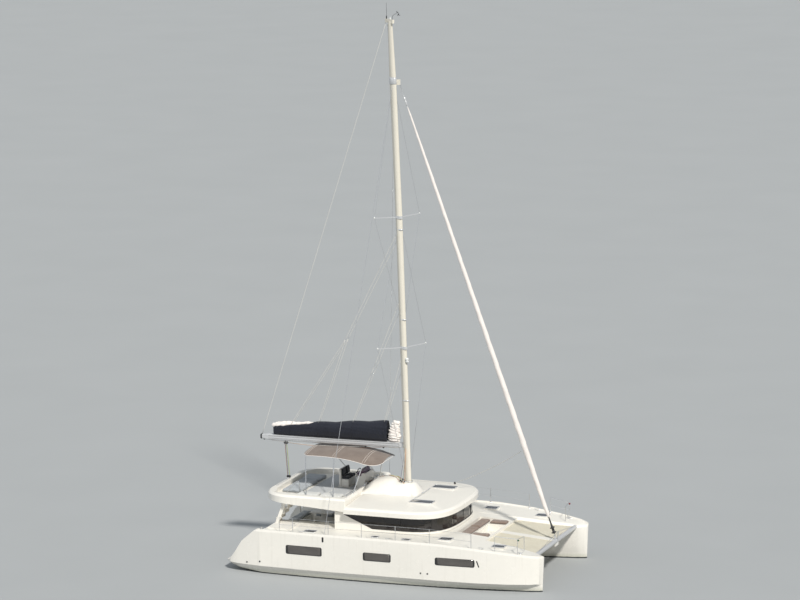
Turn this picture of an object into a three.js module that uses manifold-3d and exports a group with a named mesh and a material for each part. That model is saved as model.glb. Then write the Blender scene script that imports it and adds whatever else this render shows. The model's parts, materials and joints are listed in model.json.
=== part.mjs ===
// A cruising catamaran, 14 m long, at rest on the water with its sails stowed.
// Millimetres. +X is forward, +Y is port, +Z is up; the origin is amidships on the waterline.
import * as THREE from 'three';
import { mergeVertices } from 'three/addons/utils/BufferGeometryUtils.js';
import Module from 'manifold-3d';

const wasm = await Module();
wasm.setup();

// Driving dimensions
const GAP = 0.3;                 // between pieces that are seated on each other
const HULL_Y = 2970;             // each hull's centreline
const HULL_HALF = 1000;          // half the widest breadth of a hull
const STERN_X = -6850;
const STEM_X = 6820;
const DECK_Z = 1860;             // side deck
const BOW_Z = 1450;              // deck at the stem
const SHEER_X = 1800;            // the deck falls from here to the stem
const TOE_RAIL = 50;             // along the deck's outer edge
const CHINE_Z = 330;
const STEM_LEAN = 70;            // how far the stem's top stands forward of its foot
const FLOOR_Z = 1050;            // saloon and aft cockpit floor
const BRIDGE_Z = 800;            // underside of the bridgedeck
const BRIDGE_AFT = -5350;
const BRIDGE_FRONT = 4050;
const BRIDGE_HALF = 1960;
const SEATING_Z = 1400;          // floor of the forward cockpit
const HOUSE_AFT = -2360;
const HOUSE_TOP = 2590;
const WALL = 60;
const BAND_LOW = 1975;           // window band
const BAND_HIGH = 2500;
const GLASS = 12;
const ROOF_EDGE = 2860;
const ROOF_CROWN = 3010;
const ROOF_SKIN = 70;
const FLY_FRONT = -1850;         // where the coachroof ends and the flybridge begins
const FLY_AFT = -5650;
const FLY_HALF = 2740;
const FLY_TOP = 3160;
const FLY_FLOOR = 2960;
const MAST_FOOT = new THREE.Vector3(-60, 0, 3460);
const MAST_HEAD = new THREE.Vector3(-680, 0, 22740);
const MAST_BEND = 60;            // how far the mast's middle bows forward
const MAST_TURN = -39;           // degrees; the mast stands turned on its foot, its nose to starboard
const BOOM_Z = 4960;
const BOOM_END_X = -6640;
const HOUNDS_Z = 20200;
const CHAINPLATE = new THREE.Vector3(-2350, 3860, DECK_Z);
const BEAM_X = 6420;             // crossbeam between the bows
const BEAM_Z = 1400;
const CANOPY_Z = 4770;
const SIDES = [['starboard', -1], ['port', 1]];

// Finishes
const finish = (color, roughness, metalness = 0) =>
  new THREE.MeshStandardMaterial({ color, roughness, metalness });
const gelcoat = finish(0xe9e6dc, 0.3);
const darkGlass = finish(0x15181b, 0.08);
const alloy = finish(0xb4b7b8, 0.35, 0.8);
const mastPaint = finish(0xe6e0cc, 0.35);
const steel = finish(0xc3c6c8, 0.2, 1);
const navyCloth = finish(0x171b24, 0.9);
const taupeCloth = finish(0x93806f, 0.9);
const sailCloth = finish(0xe9dcd6, 0.8);
const netCord = finish(0xd6d0ba, 0.9);
const greyCushion = finish(0x8b9499, 0.85);
const antifoul = finish(0x22262b, 0.8);
const bronze = finish(0x8f7442, 0.35, 1);
const ironGrey = finish(0x6d7274, 0.5, 0.4);

const group = new THREE.Group();

// Solids

function solidOf(geometry) {
  const bare = geometry.clone();
  bare.deleteAttribute('normal');
  bare.deleteAttribute('uv');
  const merged = mergeVertices(bare, 0.001);
  return new wasm.Manifold(new wasm.Mesh({
    numProp: 3,
    vertProperties: new Float32Array(merged.attributes.position.array),
    triVerts: new Uint32Array(merged.index.array),
  }));
}

function addPiece(name, solid, material) {
  const { vertProperties, triVerts } = solid.getMesh();
  const geometry = new THREE.BufferGeometry();
  geometry.setAttribute('position', new THREE.BufferAttribute(new Float32Array(vertProperties), 3));
  geometry.setIndex(new THREE.BufferAttribute(new Uint32Array(triVerts), 1));
  geometry.computeVertexNormals();
  const mesh = new THREE.Mesh(geometry, material);
  mesh.name = name;
  group.add(mesh);
}

const join = (...solids) => solids.reduce((sum, next) => sum.add(next));
const flipY = (points, side) => points.map(([x, y, z]) => [x, y * side, z]);

function block(x0, x1, y0, y1, z0, z1) {
  const geometry = new THREE.BoxGeometry(Math.abs(x1 - x0), Math.abs(y1 - y0), Math.abs(z1 - z0));
  return solidOf(geometry.translate((x0 + x1) / 2, (y0 + y1) / 2, (z0 + z1) / 2));
}

// An upright prism over an outline of [x, y] points.
function prismUp(outline, z0, z1) {
  const shape = new THREE.Shape(outline.map(([x, y]) => new THREE.Vector2(x, y)));
  const geometry = new THREE.ExtrudeGeometry(shape, { depth: z1 - z0, bevelEnabled: false });
  return solidOf(geometry.translate(0, 0, z0));
}

// A prism across the boat, over an outline of [x, z] points.
function prismAcross(outline, y0, y1) {
  const shape = new THREE.Shape(outline.map(([x, z]) => new THREE.Vector2(x, z)));
  const geometry = new THREE.ExtrudeGeometry(shape, { depth: y1 - y0, bevelEnabled: false });
  return solidOf(geometry.rotateX(Math.PI / 2).translate(0, y1, 0));
}

function closedMesh(positions, triangles) {
  let volume = 0;
  const corner = (i) => new THREE.Vector3(...positions[i]);
  for (const [a, b, c] of triangles) {
    volume += corner(a).dot(corner(b).cross(corner(c)));
  }
  const outward = volume < 0 ? triangles.map(([a, b, c]) => [a, c, b]) : triangles;
  const geometry = new THREE.BufferGeometry();
  geometry.setAttribute('position', new THREE.Float32BufferAttribute(positions.flat(), 3));
  geometry.setIndex(outward.flat());
  return solidOf(geometry);
}

// A skin carried through rings of [x, y, z] points, closed at each end by a fan round the ring's middle.
function loft(rings) {
  const size = rings[0].length;
  const positions = rings.flat();
  const triangles = [];
  for (let r = 0; r + 1 < rings.length; r += 1) {
    for (let i = 0; i < size; i += 1) {
      const a = r * size + i;
      const b = r * size + ((i + 1) % size);
      triangles.push([a, b, b + size], [a, b + size, a + size]);
    }
  }
  for (const [ring, first] of [[rings[0], true], [rings[rings.length - 1], false]]) {
    const start = first ? 0 : (rings.length - 1) * size;
    const middle = positions.length;
    positions.push([0, 1, 2].map((k) => ring.reduce((sum, p) => sum + p[k], 0) / size));
    for (let i = 0; i < size; i += 1) {
      const pair = [start + i, start + ((i + 1) % size)];
      triangles.push(first ? [middle, pair[1], pair[0]] : [middle, pair[0], pair[1]]);
    }
  }
  return closedMesh(positions, triangles);
}

// A plate over a star-shaped outline, whose upper and lower faces are heights over x, y and the share
// of the way from the centre to the rim.
function plate(corners, centre, top, bottom, steps = [0.4, 0.75, 0.93, 1]) {
  const outline = divided(corners, 500);
  const size = outline.length;
  const positions = [];
  const triangles = [];
  for (const height of [top, bottom]) {
    positions.push([...centre, height(...centre, 0)]);
    for (const step of steps) {
      for (const [x, y] of outline) {
        const px = centre[0] + (x - centre[0]) * step;
        const py = centre[1] + (y - centre[1]) * step;
        positions.push([px, py, height(px, py, step)]);
      }
    }
  }
  const half = 1 + steps.length * size;
  const at = (face, step, i) => face * half + 1 + step * size + (i % size);
  for (let i = 0; i < size; i += 1) {
    triangles.push([0, at(0, 0, i), at(0, 0, i + 1)], [half, at(1, 0, i + 1), at(1, 0, i)]);
    for (let s = 0; s + 1 < steps.length; s += 1) {
      triangles.push([at(0, s, i), at(0, s + 1, i), at(0, s + 1, i + 1)]);
      triangles.push([at(0, s, i), at(0, s + 1, i + 1), at(0, s, i + 1)]);
      triangles.push([at(1, s, i), at(1, s + 1, i + 1), at(1, s + 1, i)]);
      triangles.push([at(1, s, i), at(1, s, i + 1), at(1, s + 1, i + 1)]);
    }
    const rim = steps.length - 1;
    triangles.push([at(0, rim, i), at(1, rim, i), at(1, rim, i + 1)]);
    triangles.push([at(0, rim, i), at(1, rim, i + 1), at(0, rim, i + 1)]);
  }
  return closedMesh(positions, triangles);
}

// A round bar along a line of points, mitred where it bends.
function bar(points, radius, sides = 8) {
  const line = points.map((p) => new THREE.Vector3(...p));
  const first = line[1].clone().sub(line[0]).normalize();
  // The ring's first direction is carried along the bar, so that the skin doesn't twist.
  const u = (Math.abs(first.z) > 0.9 ? new THREE.Vector3(1, 0, 0) : new THREE.Vector3(0, 0, 1)).cross(first);
  const rings = line.map((point, i) => {
    const before = line[Math.max(i - 1, 0)];
    const after = line[Math.min(i + 1, line.length - 1)];
    const along = after.clone().sub(before).normalize();
    u.addScaledVector(along, -u.dot(along)).normalize();
    const v = along.clone().cross(u);
    return Array.from({ length: sides }, (_, k) => {
      const turn = (2 * Math.PI * k) / sides;
      const spot = point.clone().addScaledVector(u, radius * Math.cos(turn));
      return spot.addScaledVector(v, radius * Math.sin(turn)).toArray();
    });
  });
  return loft(rings);
}

// A turned shape of [radius, distance] points, from the point a towards the point b.
function turned(profile, a, b, sides = 12) {
  const points = profile.map(([radius, distance]) => new THREE.Vector2(radius, distance));
  const geometry = new THREE.LatheGeometry(points, sides);
  const along = new THREE.Vector3(...b).sub(new THREE.Vector3(...a)).normalize();
  geometry.applyQuaternion(new THREE.Quaternion().setFromUnitVectors(new THREE.Vector3(0, 1, 0), along));
  return solidOf(geometry.translate(...a));
}

// What is left of a piece when its neighbours, moved a gap towards it, are cut away.
function seated(piece, ...neighbours) {
  return neighbours.reduce((left, [solid, dx, dy, dz]) =>
    left.subtract(solid.translate([dx * GAP, dy * GAP, dz * GAP])), piece);
}

// Outlines

const deckHeight = (x) =>
  DECK_Z - (DECK_Z - BOW_Z) * Math.max(0, (x - SHEER_X) / (STEM_X - SHEER_X)) ** 1.7;

// The deckhouse in plan: square corners aft, straight sides, and a rounded front.
function houseOutline(aft, shoulder, front, half, power, inset = 0) {
  const points = [[aft + inset, half - inset], [aft + inset, -(half - inset)]];
  const turns = 20;
  for (let i = 0; i <= turns; i += 1) {
    const angle = -Math.PI / 2 + (Math.PI * i) / turns;
    const x = Math.abs(Math.cos(angle)) ** (2 / power);
    const y = Math.sign(Math.sin(angle)) * Math.abs(Math.sin(angle)) ** (2 / power);
    points.push([shoulder + (front - shoulder - inset) * x, (half - inset) * y]);
  }
  return points;
}

// A rectangle whose corners are arcs.
function roundedOutline(x0, x1, half, radiusAft, radiusFront, turns = 5) {
  const corners = [
    [x1 - radiusFront, half - radiusFront, radiusFront, 0],
    [x0 + radiusAft, half - radiusAft, radiusAft, 1],
    [x0 + radiusAft, -half + radiusAft, radiusAft, 2],
    [x1 - radiusFront, -half + radiusFront, radiusFront, 3],
  ];
  return corners.flatMap(([x, y, radius, quarter]) => Array.from({ length: turns + 1 }, (_, i) => {
    const angle = (Math.PI / 2) * (quarter + i / turns);
    return [x + radius * Math.cos(angle), y + radius * Math.sin(angle)];
  }));
}

// The same outline with its long edges divided, so that a plate over it can curve.
function divided(outline, longest) {
  return outline.flatMap(([x, y], i) => {
    const [nextX, nextY] = outline[(i + 1) % outline.length];
    const count = Math.max(1, Math.ceil(Math.hypot(nextX - x, nextY - y) / longest));
    return Array.from({ length: count }, (_, k) =>
      [x + ((nextX - x) * k) / count, y + ((nextY - y) * k) / count]);
  });
}

// Hulls

// Each section of a hull: place along the boat, height of the keel line, half breadth of the bottom
// at the chine, and half breadth of the topside on the outer and the inner side.
const HULL_SECTIONS = [
  { x: STERN_X, keel: 300, bottom: 330, outer: 420, inner: 420 },
  { x: -6650, keel: 150, bottom: 520, outer: 640, inner: 640 },
  { x: -6250, keel: 0, bottom: 680, outer: 800, inner: 800 },
  { x: -5200, keel: -300, bottom: 830, outer: 960, inner: 960 },
  { x: -3000, keel: -600, bottom: 870, outer: HULL_HALF, inner: 1000 },
  { x: 0, keel: -720, bottom: 860, outer: HULL_HALF, inner: 1000 },
  { x: 2600, keel: -690, bottom: 760, outer: 985, inner: 1000 },
  { x: 4200, keel: -620, bottom: 590, outer: 900, inner: 900 },
  { x: 5500, keel: -540, bottom: 380, outer: 700, inner: 700 },
  { x: 6400, keel: -460, bottom: 200, outer: 430, inner: 430 },
  { x: 6720, keel: -410, bottom: 90, outer: 210, inner: 210 },
  { x: STEM_X, keel: -360, bottom: 25, outer: 60, inner: 60 },
];
const ENGINE_BAY = { x0: -4950, x1: -4050, half: 400, floor: -180, lid: 460 };
// Steps up from the bathing platform: where each tread starts and its height.
const STEPS = [
  { x: STERN_X - 50, z: 420 },
  { x: -6150, z: 735 },
  { x: -5800, z: FLOOR_Z },
];
const STEPS_FRONT = -5120;
// Deck hatches: place along the boat, distance inboard of the hull's centreline.
const DECK_HATCHES = [
  { name: 'forward', x: 4910, inboard: 120 },
  { name: 'middle', x: 2640, inboard: 60 },
];
const HATCH = { long: 560, wide: 480, coaming: 15, lid: 30, well: 90 };

function hullRing({ x, keel, bottom, outer, inner }, side) {
  const deck = deckHeight(x);
  const rise = (part) => keel + part * (CHINE_Z - keel);
  const lean = (z) => (x > 5000 ? (STEM_LEAN * (x - 5000) * Math.max(z, 0)) / (1900 * BOW_Z) : 0);
  const edge = Math.min(90, outer / 2);
  // Distance outboard of the hull's centreline, and height
  const section = [
    [0, keel],
    [bottom * 0.62, rise(0.22)],
    [bottom * 0.92, rise(0.6)],
    [bottom, CHINE_Z - 30],
    [outer * 0.985, CHINE_Z + 30],
    [outer, deck - 40],
    [outer - edge * 0.25, deck + TOE_RAIL],
    [outer - edge * 0.7, deck + TOE_RAIL],
    [outer - edge * 0.85, deck],
    [-inner + edge, deck],
    [-inner, deck - 110],
    [-Math.max(bottom, inner * 0.86), 700],
    [-bottom, CHINE_Z - 30],
    [-bottom * 0.92, rise(0.6)],
    [-bottom * 0.62, rise(0.22)],
  ];
  return section.map(([out, z]) => [x + lean(z), side * (HULL_Y + out), z]);
}

function sternCut(side) {
  const coaming = [
    [-5300, DECK_Z + 200], [-5300, DECK_Z + TOE_RAIL + 1], [-5480, 1830], [-6040, 1360], [-6400, 830],
    [-6640, 545], [STERN_X - 100, 500], [STERN_X - 100, DECK_Z + 200],
  ];
  const reach = side * HULL_Y;
  let cut = prismAcross(coaming, reach - 1100, reach + 1100);
  STEPS.forEach(({ x, z }) => {
    const inner = z === FLOOR_Z ? -1100 : -640;
    const ends = [reach + side * inner, reach + side * 560].sort((a, b) => a - b);
    cut = cut.add(block(x, STEPS_FRONT, ends[0], ends[1], z, DECK_Z + 400));
  });
  return cut;
}

const hatchPlace = ({ x, inboard }, side) =>
  ({ x, y: side * (HULL_Y - inboard), z: deckHeight(x - HATCH.long / 2) });

function hatchCoaming({ x, y, z }) {
  const [long, wide] = [HATCH.long / 2, HATCH.wide / 2];
  const rim = block(x - long, x + long, y - wide, y + wide, z - 120, z + HATCH.coaming);
  const well = block(x - long + 60, x + long - 60, y - wide + 60, y + wide - 60, z - HATCH.well, z + 100);
  return [rim, well];
}

function hatchLid({ x, y, z }) {
  const [long, wide] = [HATCH.long / 2, HATCH.wide / 2];
  const low = z + HATCH.coaming + GAP;
  return block(x - long, x + long, y - wide, y + wide, low, low + HATCH.lid);
}

const RUDDER_X = -5350;
const RUDDER_TOP = -395;

function hull(side) {
  const bay = ENGINE_BAY;
  const middle = side * HULL_Y;
  let body = loft(HULL_SECTIONS.map((section) => hullRing(section, side)));
  body = body.subtract(sternCut(side));
  const frame = block(bay.x0 - 60, bay.x1 + 60, middle - bay.lid, middle + bay.lid, DECK_Z - 40, DECK_Z + 20);
  body = body.add(frame);
  body = body.subtract(block(bay.x0, bay.x1, middle - bay.half, middle + bay.half, bay.floor, DECK_Z + 100));
  for (const hatch of DECK_HATCHES) {
    const [rim, well] = hatchCoaming(hatchPlace(hatch, side));
    body = body.add(rim).subtract(well);
  }
  return body.add(bar([[RUDDER_X, middle, 0], [RUDDER_X, middle, RUDDER_TOP]], 70, 12));
}

const hulls = SIDES.map(([, side]) => hull(side));
SIDES.forEach(([name, side], i) => {
  addPiece(`hull_${name}`, hulls[i], gelcoat);
  for (const hatch of DECK_HATCHES) {
    addPiece(`hatch_${hatch.name}_${name}`, hatchLid(hatchPlace(hatch, side)), darkGlass);
  }
});

// Below the waterline

const KEEL_SECTIONS = [
  { z: -550, aft: -2150, front: 1150, half: 150 },
  { z: -1200, aft: -1850, front: 700, half: 110 },
  { z: -1330, aft: -1700, front: 500, half: 70 },
];

// A foil section in plan, with its thickest place a third of the way back.
function foilRing(aft, front, half, middle, z) {
  const chord = front - aft;
  const places = [[0, 0.04], [0.35, 0.7], [0.65, 1], [0.9, 0.7], [1, 0.08]];
  const upper = places.map(([part, share]) => [aft + chord * part, middle + half * share, z]);
  const lower = places.map(([part, share]) => [aft + chord * part, middle - half * share, z]).reverse();
  return [...upper, ...lower];
}

function keel(middle, carrier) {
  const fin = loft(KEEL_SECTIONS.map(({ z, aft, front, half }) => foilRing(aft, front, half, middle, z)));
  return seated(fin, [carrier, 0, 0, -1]);
}

function rudder(middle) {
  const blade = loft([
    foilRing(-5650, -5180, 42, middle, -1180),
    foilRing(-5700, -5120, 50, middle, -500),
    foilRing(-5680, -5120, 50, middle, -420),
  ]);
  const stock = bar([[RUDDER_X, middle, -700], [RUDDER_X, middle, RUDDER_TOP - GAP]], 40, 12);
  return blade.add(stock);
}

const LEG = { x: -3900, front: -3700, aft: -4110, z: -900, half: 55 };
const PROPELLER = { hub: 55, long: 130, radius: 230, blades: 3 };
// A blade's edge: half breadths by 80, and shares of the radius.
const BLADE_OUTLINE = [
  [-0.5, 0.1], [0.5, 0.1], [0.85, 0.45], [0.75, 0.85], [0.2, 1], [-0.35, 0.95], [-0.7, 0.5],
];

function driveLeg(middle, carrier) {
  const strut = loft([
    foilRing(LEG.x - 190, LEG.x + 130, LEG.half, middle, -380),
    foilRing(LEG.x - 150, LEG.x + 110, LEG.half * 0.8, middle, LEG.z),
  ]);
  const length = LEG.front - LEG.aft;
  const pod = [[0, 0], [60, 0], [75, length * 0.3], [70, length * 0.7], [40, length * 0.93], [0, length]];
  const body = turned(pod, [LEG.aft, middle, LEG.z], [LEG.front, middle, LEG.z]);
  return seated(strut.add(body), [carrier, 0, 0, -1]);
}

function propeller(middle) {
  const { hub, long, radius, blades } = PROPELLER;
  const start = LEG.aft - GAP - long;
  const profile = [[0, 0], [25, 0], [hub, long * 0.4], [hub, long], [0, long]];
  let solid = turned(profile, [start, middle, LEG.z], [0, middle, LEG.z]);
  for (let i = 0; i < blades; i += 1) {
    const shape = new THREE.Shape(BLADE_OUTLINE.map(([w, r]) => new THREE.Vector2(w * 80, r * radius)));
    const blade = new THREE.ExtrudeGeometry(shape, { depth: 12, bevelEnabled: false });
    blade.translate(0, 0, -6).rotateY(Math.PI / 2 - 0.45);
    blade.rotateX((2 * Math.PI * i) / blades).translate(start + long * 0.6, middle, LEG.z);
    solid = solid.add(solidOf(blade));
  }
  return solid;
}

function engine(middle) {
  const { x0, floor } = ENGINE_BAY;
  return block(x0 + 60, x0 + 820, middle - 280, middle + 280, floor + GAP, floor + 640);
}

function engineLid(middle) {
  const { x0, x1, lid } = ENGINE_BAY;
  const low = DECK_Z + 20 + GAP;
  return block(x0 - 60, x1 + 60, middle - lid, middle + lid, low, low + 35);
}

SIDES.forEach(([name, side], i) => {
  const middle = side * HULL_Y;
  addPiece(`keel_${name}`, keel(middle, hulls[i]), antifoul);
  addPiece(`rudder_${name}`, rudder(middle), antifoul);
  addPiece(`drive_leg_${name}`, driveLeg(middle, hulls[i]), ironGrey);
  addPiece(`propeller_${name}`, propeller(middle), bronze);
  addPiece(`engine_${name}`, engine(middle), ironGrey);
  addPiece(`engine_lid_${name}`, engineLid(middle), gelcoat);
});

// Bridgedeck, between the hulls

const COCKPIT = { x0: BRIDGE_AFT - 50, x1: HOUSE_AFT - 1, half: 1760, rail: -5060 };
const SALOON = { x0: HOUSE_AFT - 1, x1: 2000, half: 1760 };
const WELL = { x0: 2620, x1: 3980, half: 1450 };
// Furniture moulded with the bridgedeck: galley, aft cockpit bench, and the forward cockpit's three seats.
const MOULDED = [
  { x0: -2100, x1: 200, y0: -SALOON.half, y1: -1150, low: FLOOR_Z, high: FLOOR_Z + 900 },
  { x0: BRIDGE_AFT, x1: BRIDGE_AFT + 520, y0: -1300, y1: 1300, low: FLOOR_Z, high: FLOOR_Z + 400 },
  { x0: WELL.x0, x1: WELL.x0 + 520, y0: -WELL.half, y1: WELL.half, low: SEATING_Z, high: SEATING_Z + 260 },
  { x0: WELL.x0, x1: WELL.x1, y0: -WELL.half, y1: -950, low: SEATING_Z, high: SEATING_Z + 260 },
  { x0: WELL.x0, x1: WELL.x1, y0: 950, y1: WELL.half, low: SEATING_Z, high: SEATING_Z + 260 },
];

function bridgedeck() {
  const rake = [
    [BRIDGE_AFT, BRIDGE_Z + 60], [BRIDGE_AFT + 400, BRIDGE_Z], [3300, BRIDGE_Z], [BRIDGE_FRONT, 1150],
    [BRIDGE_FRONT, deckHeight(BRIDGE_FRONT) - 40], [2900, deckHeight(2900) - 10], [SHEER_X, DECK_Z - 2],
    [BRIDGE_AFT, DECK_Z - 2],
  ];
  let body = prismAcross(rake, -BRIDGE_HALF - 200, BRIDGE_HALF + 200);
  body = body.subtract(block(COCKPIT.x0, COCKPIT.x1, -COCKPIT.half, COCKPIT.half, FLOOR_Z, 3000));
  body = body.subtract(block(COCKPIT.x0, COCKPIT.rail, -2400, 2400, FLOOR_Z, 3000));
  body = body.subtract(block(SALOON.x0, SALOON.x1, -SALOON.half, SALOON.half, FLOOR_Z, 3000));
  body = body.subtract(block(WELL.x0, WELL.x1, -WELL.half, WELL.half, SEATING_Z, 3000));
  for (const { x0, x1, y0, y1, low, high } of MOULDED) {
    body = body.add(block(x0, x1, y0, y1, low - 10, high));
  }
  return seated(body, [hulls[0], 0, 1, 0], [hulls[1], 0, -1, 0]);
}

const bridge = bridgedeck();
addPiece('bridgedeck', bridge, gelcoat);

// Deckhouse

const HOUSE = { aft: HOUSE_AFT, shoulder: 300, front: 2380, half: 2600, power: 3.1 };
const ROOF = { aft: FLY_FRONT + GAP, shoulder: 420, front: 2560, half: 2930, power: 3.3 };
const houseRing = (inset, z0, z1) =>
  prismUp(houseOutline(HOUSE.aft, HOUSE.shoulder, HOUSE.front, HOUSE.half, HOUSE.power, inset), z0, z1);
const DOORWAY = { half: 950, post: 25, top: 2450 };
// Pillars behind the glass: direction from the deckhouse's middle, in degrees from straight ahead
const PILLARS = [-78, -52, -24, 24, 52, 78];

// The window band seen from the side, with a slanted aft end.
function bandSolid(grow) {
  const low = BAND_LOW - grow;
  const high = BAND_HIGH + grow;
  const outline = [[-1950 - 4 * grow, high], [-700 - 4 * grow, low], [2700, low], [2700, high]];
  return prismAcross(outline, -3000, 3000);
}

function houseWalls() {
  const base = DECK_Z + GAP;
  let body = houseRing(0, base, HOUSE_TOP).subtract(houseRing(WALL, base - 10, HOUSE_TOP + 10));
  const sill = COCKPIT.half - 5;
  body = body.add(block(HOUSE_AFT, HOUSE_AFT + WALL, -sill, sill, FLOOR_Z + GAP, base + 20));
  for (const y of [-1, 1]) {
    const ends = [y * DOORWAY.post, y * DOORWAY.half].sort((a, b) => a - b);
    body = body.subtract(block(HOUSE_AFT - 50, HOUSE_AFT + 200, ends[0], ends[1], FLOOR_Z + 40, DOORWAY.top));
  }
  const rebate = bandSolid(GAP).subtract(houseRing(GLASS + GAP, 1000, 3000));
  let openings = bandSolid(-70);
  for (const degrees of PILLARS) {
    const pillar = new THREE.BoxGeometry(4000, 90, 2000).translate(2000, 0, 2300);
    openings = openings.subtract(solidOf(pillar.rotateZ((degrees * Math.PI) / 180)));
  }
  const reveal = openings.subtract(block(-4000, HOUSE_AFT + 500, -3000, 3000, 0, 4000));
  return body.subtract(rebate).subtract(reveal);
}

function windowBand() {
  return bandSolid(0).intersect(houseRing(0, 1000, 3000).subtract(houseRing(GLASS, 900, 3100)));
}

// The roof falls away from its crown to its edge.
function roofHeight(x, y, share) {
  const across = (y / ROOF.half) ** 2;
  const along = Math.max(0, (x + 600) / (ROOF.front + 600)) ** 2.2;
  return ROOF_EDGE + (ROOF_CROWN - ROOF_EDGE) * (1 - across) * (1 - along) - rimFall(share);
}

// How far a moulding's upper face falls where it turns down to its rim.
const RIM = { start: 0.95, fall: 90 };
const RIM_STEPS = [0.4, 0.75, RIM.start, 0.975, 0.99, 1];
const rimFall = (share) => RIM.fall * Math.max(0, (share - RIM.start) / (1 - RIM.start)) ** 2;

// The fairing that carries the mast: its crown's line along the boat, low again ahead of the mast.
const MAST_BLISTER = { x0: FLY_FRONT + GAP, x1: 480, half: 900 };
const BLISTER_LINE = [
  { x: MAST_BLISTER.x0, z: 3230 }, { x: -1400, z: 3540 }, { x: -950, z: 3620 }, { x: -560, z: 3580 },
  { x: -420, z: 3450 }, { x: 260, z: 3420 }, { x: MAST_BLISTER.x1, z: 3000 },
];
const ROOF_HATCHES = [
  { name: 'starboard', x: 1060, y: -1400 },
  { name: 'port', x: 1060, y: 1400 },
];
const ROOF_HATCH = { long: 1020, wide: 540 };
const roofHatchZ = 2980;

// Rings across the boat, each an arch from one side of the fairing to the other.
function mastFairing() {
  return loft(BLISTER_LINE.map(({ x, z }) => {
    const width = MAST_BLISTER.half * (x > 0 ? 0.8 : 1);
    const arch = [-1, -0.92, -0.7, -0.4, 0, 0.4, 0.7, 0.92, 1].map((part) =>
      [x, part * width, ROOF_EDGE + 20 + (z - ROOF_EDGE - 20) * (1 - Math.abs(part) ** 3)]);
    return [[x, -width, ROOF_EDGE], ...arch, [x, width, ROOF_EDGE]];
  }));
}

function coachroof() {
  const outline = houseOutline(ROOF.aft, ROOF.shoulder, ROOF.front, ROOF.half, ROOF.power);
  const inner = houseOutline(ROOF.aft - 200, ROOF.shoulder, ROOF.front, ROOF.half, ROOF.power, 150);
  const low = HOUSE_TOP + GAP;
  let body = plate(outline, [200, 0], roofHeight, () => low, RIM_STEPS);
  body = body.subtract(plate(inner, [200, 0], (x, y) => roofHeight(x, y, 0) - ROOF_SKIN, () => low - 300));
  const rim = houseOutline(HOUSE.aft, HOUSE.shoulder, HOUSE.front, HOUSE.half, HOUSE.power, -40);
  const bearing = prismUp(rim, low, low + 30).subtract(houseRing(WALL + 40, low - 10, low + 100));
  body = body.add(bearing.subtract(block(-6000, ROOF.aft, -3000, 3000, 2000, 3000)));
  body = body.add(mastFairing());
  body = body.add(block(MAST_FOOT.x - 220, MAST_FOOT.x + 220, -200, 200, ROOF_EDGE + 60, MAST_FOOT.z - GAP));
  for (const { x, y } of ROOF_HATCHES) {
    const [long, wide] = [ROOF_HATCH.long / 2, ROOF_HATCH.wide / 2];
    body = body.add(block(x - long, x + long, y - wide, y + wide, roofHatchZ - 110, roofHatchZ));
    body = body.subtract(block(x - long + 60, x + long - 60, y - wide + 60, y + wide - 60, 2600, 3300));
  }
  return body;
}

addPiece('deckhouse_walls', houseWalls(), gelcoat);
addPiece('window_band', windowBand(), darkGlass);
addPiece('coachroof', coachroof(), gelcoat);
for (const { name, x, y } of ROOF_HATCHES) {
  const [long, wide] = [ROOF_HATCH.long / 2, ROOF_HATCH.wide / 2];
  const low = roofHatchZ + GAP;
  const lid = block(x - long, x + long, y - wide, y + wide, low, low + HATCH.lid);
  addPiece(`roof_hatch_${name}`, lid, darkGlass);
}

// Saloon: its door, the fixed pane beside it, and what shows through the glass

const leafX = HOUSE_AFT - 10;
const leafPane = { y0: -DOORWAY.half - 20, y1: -5, top: DOORWAY.top + 20 };
addPiece('saloon_door',
  block(leafX - 40, leafX, leafPane.y0, leafPane.y1, FLOOR_Z + GAP, leafPane.top), darkGlass);
const fixedPane = {
  y0: DOORWAY.post + GAP, y1: DOORWAY.half - GAP, low: FLOOR_Z + 40 + GAP, top: DOORWAY.top - GAP,
};
addPiece('saloon_fixed_pane',
  block(HOUSE_AFT + 20, HOUSE_AFT + 40, fixedPane.y0, fixedPane.y1, fixedPane.low, fixedPane.top), darkGlass);

function saloonSettee() {
  const seat = block(300, 1850, -300, 1700, FLOOR_Z + GAP, FLOOR_Z + 450);
  const back = block(1650, 1850, -300, 1700, FLOOR_Z + 440, FLOOR_Z + 850);
  const table = block(-100, 250, 300, 1300, FLOOR_Z + GAP, FLOOR_Z + 700);
  return join(seat, back, table.add(block(200, 320, 500, 1100, FLOOR_Z + 100, FLOOR_Z + 400)));
}
addPiece('saloon_settee', saloonSettee(), greyCushion);

// Flybridge, over the aft cockpit

const flyBottom = (x) => 2620 + (240 * (FLY_FRONT - x)) / (FLY_FRONT - FLY_AFT);
const FLY_STAIR = { x0: -5150, x1: -4260, y0: -2360, y1: -1780 };

function flybridge() {
  const outline = roundedOutline(FLY_AFT, FLY_FRONT, FLY_HALF, 1200, 30, 7);
  const top = (x, y, share) => FLY_TOP - rimFall(share);
  let body = plate(outline, [-3900, 0], top, flyBottom, RIM_STEPS);
  const well = roundedOutline(FLY_AFT + 330, FLY_FRONT - 160, FLY_HALF - 360, 900, 120, 6);
  body = body.subtract(prismUp(well, FLY_FLOOR, FLY_TOP + 200));
  body = body.add(block(-4200, -2150, -2420, -1750, FLY_FLOOR - 10, FLY_FLOOR + 110));
  const { x0, x1, y0, y1 } = FLY_STAIR;
  return body.subtract(block(x0, x1, y0, y1, 2000, 4000));
}
const fly = flybridge();
addPiece('flybridge', fly, gelcoat);

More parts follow.
